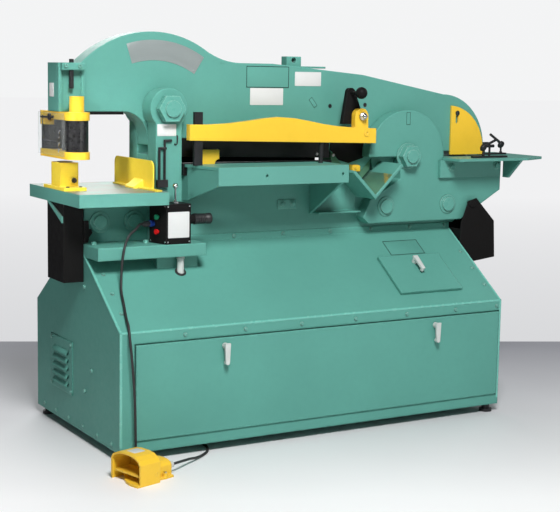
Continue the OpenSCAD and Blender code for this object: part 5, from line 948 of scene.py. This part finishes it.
def make_pedal_trim():
    """The blank label, treadle ribs, bolts and mouth rim of the foot switch."""
    hood_width, hood_height, hood_length = 166, 108, 90
    bm = bmesh.new()
    label = rounded_rectangle(width=50, height=46, radius=3)
    add_prism(bm, label, 0, 0.8, on_pedal(along=46, across=0, z=hood_height))
    make_piece("pedal_blank_label", bm, white_plate, "base", bevel=0.2)
    pitch, rib_height, treadle_top = 9, 1.8, 37.5
    rib = rounded_rectangle(width=4, height=112, radius=1.5)
    bm = bmesh.new()
    for k in range(6):
        add_prism(bm, rib, 0, rib_height, on_pedal(pitch + pitch * k, 0, treadle_top))
    make_piece("treadle_ribs", bm, yellow_enamel, "treadle", bevel=0.5)
    housing_length, bolt_share, bolt_across, bolt_z = 80, 0.55, 58, 22
    bm = bmesh.new()
    for side in (-1, 1):
        place = on_pedal(hood_length + housing_length * bolt_share, side * bolt_across, bolt_z)
        add_hex_head(bm, place, across=11, height=5)
    make_piece("pedal_bolts", bm, chrome_plate, "base", bevel=0.2)
    wall, mouth_foot, mouth_height, rim_depth = 6, 1.5, 101.5, 2.5
    mouth_width = hood_width - 2 * wall
    outer = [(u * hood_width, v * hood_height) for u, v in HOOD_SHARES]
    inner = [(u * mouth_width, mouth_foot + v * mouth_height) for u, v in HOOD_SHARES]
    inner[0], inner[-1] = (-mouth_width / 2, outer[0][1]), (mouth_width / 2, outer[-1][1])
    bm = bmesh.new()
    add_prism(bm, outer + inner[::-1], 0, rim_depth, PEDAL_PLACE @ facing(0, 0, 0, (0, -1, 0), UP))
    make_piece("pedal_hood_rim", bm, yellow_enamel, "base", bevel=0.8)


def make_gauge_trim():
    """Knobs and crossed bars of the two gauges."""
    gauge_top, knob_z, tilt = 1108, 1146, 0.25
    stem = [(7, 0), (7, 6), (4.5, 7), (4.5, 24), (7, 27)]
    wheel = [(7, -9), (14, -8), (16, -5), (16, 5), (14, 8), (7, 9), (3, 9.5)]
    side_bars = [[(986, 1152), (1020, 1166), (1058, 1182)], [(1018, 1205), (1042, 1190), (1072, 1171)]]
    back_bars = [[(1210, 1168), (1222, 1158), (1236, 1146)]]
    for name, x, y, bars, radius in (("side", 982, -176, side_bars, 6), ("back", 1236, 10, back_bars, 5)):
        bm = bmesh.new()
        add_lathe(bm, stem, top(x, y, gauge_top), 20)
        add_lathe(bm, wheel, facing(x, y, knob_z, (1, 0, tilt), (0, -tilt, 1)), 24)
        for bar in bars:
            add_tube(bm, [(u, y, z) for u, z in bar], radius)
        make_piece("gauge_knob_" + name, bm, dark_steel, "gauge_" + name, bevel=0.6)


def make_welds():
    """Weld beads along the seams of the tables and gussets."""
    apron_y, apron_back, apron_z = -113, -228, 1087
    seams = [((x, TABLE_BACK, 1012), (x, TABLE_BACK, 900)) for x in (146, 158)]
    seams.append(((-463, TABLE_BACK, 1050), (-463, TABLE_BACK, 880)))
    seams.append(((270, TABLE_BACK, 873), (366, TABLE_BACK, 873)))
    seams += [((x, apron_y, apron_z), (x, apron_back, apron_z)) for x in (1153, 1165)]
    bm = bmesh.new()
    for start, stop in seams:
        add_weld(bm, start, stop, radius=3.2)
    make_piece("table_welds", bm, plate_green, "base")


def make_hook():
    """The black hook beside the left chute."""
    thick = 10
    outline = [(-10, -42), (8, -42), (12, -22), (26, -4), (22, 10), (12, 12), (10, 44), (-10, 44)]
    bm = bmesh.new()
    add_prism(bm, outline, 0, thick, front(x=-893, y=-84, z=838))
    make_piece("chute_hook", bm, black_enamel, "base", bevel=1.2)


def make_rear_guard():
    """The black plate behind the bar blades, which follows their rake, with its screws."""
    thick, screw_pitch, screw_rise = 3, 160, -22
    outline = [(-350, -31), (350, -31), (350, 62), (-350, 34)]
    place = facing(-117, 51, 1073, (-1, 0, 0), UP)
    bm = bmesh.new()
    add_prism(bm, outline, 0, thick, place)
    for k in range(-2, 3):
        spot = place @ Matrix.Translation((k * screw_pitch, screw_rise, thick))
        add_dome_head(bm, spot, radius=7, height=4)
    make_piece("blade_rear_guard", bm, black_enamel, "base", bevel=0.6)


def make_folds():
    """Round folds along the cabinet's front corners, in a lighter green that paints their highlight."""
    inset, radius, sides = 4, 6, 16
    side, face = -CABINET_END - inset, SLOPE_FOOT_Y + inset
    foot, fold = 62, 495.9
    crest = (TABLE_BACK, fold + (TABLE_BACK - face) * SLOPE_RISE / SLOPE_RUN)
    bm = bmesh.new()
    for x in (-side, side):
        add_tube(bm, [(x, face, foot), (x, face, fold)], radius, sides)
        add_tube(bm, [(x, face, fold), (x, *crest)], radius, sides)
    add_tube(bm, [(-side, face, fold), (side, face, fold)], radius, sides)
    make_piece("cabinet_folds", bm, fold_highlight_green, "base")


make_bolts()
make_bed_bolt_plate()
make_beam_trim()
make_hold_down_trim()
make_trough_trim()
make_box_trim()
make_shield()
make_pedal_trim()
make_gauge_trim()
make_welds()
make_hook()
make_rear_guard()
make_folds()

# Floor, lights and background, in metres

FLOOR_HALF = 60
# Direction square to the floor's far edge, turned from the camera's yaw to lie level in a rolled picture
FLOOR_YAW = CAMERA_YAW - CAMERA_ROLL * 5
FADE_START, FLOOR_END, BACKDROP_FAR = 4.6, 7.2, 16.0
FADE_GRAIN = 0.3
EDGE_BLEND = 0.01
SIDE_START, SIDE_END = 2.2, 4.6
FRONT_START, FRONT_END = 3.2, 1.2
FLOOR_NEAR_TONE = (0.93, 0.93, 0.935, 1)
FLOOR_FAR_TONE = (0.34, 0.345, 0.38, 1)
BACKDROP_LOW_TONE = (0.69, 0.695, 0.71, 1)
BACKDROP_HIGH_TONE = (0.88, 0.88, 0.89, 1)
SURROUND_TONE = (0.95, 0.97, 1.0, 1)
SURROUND_STRENGTH = 0.1
SURROUND_SEEN_TONE = (0.9, 0.905, 0.91, 1)

# Name, place, target, width, power in watts and spread in degrees of each lamp
LAMPS = (
    ("key", (-1.4, -3.5, 4.2), (0, 0, 0.9), 1.3, 270, 180),
    ("fill", (2.8, -4.4, 1.6), (0.3, 0, 0.7), 2.4, 10, 180),
    ("punch_end", (-3.3, -2.0, 2.2), (-0.84, -0.02, 1.12), 0.5, 0.75, 11),
    ("back", (0.6, 3.8, 3.0), (0, 0, 0.8), 2.6, 75, 180),
    ("right_end", (4.2, 0.9, 2.2), (0.6, 0, 0.8), 2.2, 26, 180),
)


def light_path(tree, plain, seen, output):
    """Shows one shader to the camera, and the plain one to all other light."""
    rays = tree.nodes.new("ShaderNodeLightPath")
    blend = tree.nodes.new("ShaderNodeMixShader")
    tree.links.new(rays.outputs["Is Camera Ray"], blend.inputs[0])
    tree.links.new(plain, blend.inputs[1])
    tree.links.new(seen, blend.inputs[2])
    tree.links.new(blend.outputs[0], tree.nodes[output].inputs["Surface"])


def along_direction(s, direction):
    """How far a point of the floor lies along a direction."""
    return s.add("ShaderNodeVectorMath", {0: s.place, 1: direction}, operation="DOT_PRODUCT").outputs["Value"]


def floor_material():
    """Pale paint that fades to grey away from the front, inside a pale backdrop on every side."""
    s = Shader("pale_floor")
    yaw = math.radians(FLOOR_YAW)
    ahead = Vector((math.sin(yaw), math.cos(yaw), 0))
    aside = Vector((math.cos(yaw), -math.sin(yaw), 0))
    away = s.math("SUBTRACT", along_direction(s, ahead), (Vector(CAMERA_PLACE) * MM).dot(ahead))
    grain = s.math("MULTIPLY", s.noise(1.2, 3.0), FADE_GRAIN)
    fade = s.span(s.math("ADD", away, grain), FADE_START, FLOOR_END)
    s.set(Base_Color=s.mix(fade, FLOOR_NEAR_TONE, FLOOR_FAR_TONE), Roughness=0.6)
    rise = s.span(away, FLOOR_END, BACKDROP_FAR)
    glow = s.add("ShaderNodeEmission", {"Color": s.mix(rise, BACKDROP_LOW_TONE, BACKDROP_HIGH_TONE)})
    side = s.span(s.math("ABSOLUTE", along_direction(s, aside), 0), SIDE_START, SIDE_END)
    edge = s.math("MAXIMUM", side, s.span(away, FRONT_START, FRONT_END))
    share = s.math("MAXIMUM", edge, s.span(away, FLOOR_END - EDGE_BLEND, FLOOR_END))
    paint = s.surface.outputs[0]
    seen = s.add("ShaderNodeMixShader", {0: share, 1: paint, 2: glow.outputs[0]})
    light_path(s.tree, paint, seen.outputs[0], "Material Output")
    return s.material


def make_floor():
    """One flat sheet for the floor and the backdrop."""
    data = bpy.data.meshes.new("floor")
    corners = [(sx * FLOOR_HALF, sy * FLOOR_HALF, 0) for sx, sy in ((-1, -1), (1, -1), (1, 1), (-1, 1))]
    data.from_pydata(corners, [], [(0, 1, 2, 3)])
    floor = bpy.data.objects.new("floor", data)
    scene.collection.objects.link(floor)
    data.materials.append(floor_material())


def make_lamps():
    """Soft lamps, the strongest from the upper left front."""
    for name, place, target, width, power, spread in LAMPS:
        lamp = bpy.data.lights.new(name, "AREA")
        lamp.size = width
        lamp.energy = power
        lamp.spread = math.radians(spread)
        holder = bpy.data.objects.new(name, lamp)
        scene.collection.objects.link(holder)
        holder.location = place
        holder.rotation_euler = (Vector(target) - Vector(place)).to_track_quat("-Z", "Y").to_euler()


def make_surround():
    """A dim white surround that is pale where it is seen."""
    world = bpy.data.worlds.new("surround")
    scene.world = world
    world.use_nodes = True
    tree = world.node_tree
    light = tree.nodes["Background"]
    light.inputs["Color"].default_value = SURROUND_TONE
    light.inputs["Strength"].default_value = SURROUND_STRENGTH
    seen = tree.nodes.new("ShaderNodeBackground")
    seen.inputs["Color"].default_value = SURROUND_SEEN_TONE
    light_path(tree, light.outputs[0], seen.outputs[0], "World Output")
    scene.view_settings.view_transform = "Standard"


make_floor()
make_lamps()
make_surround()
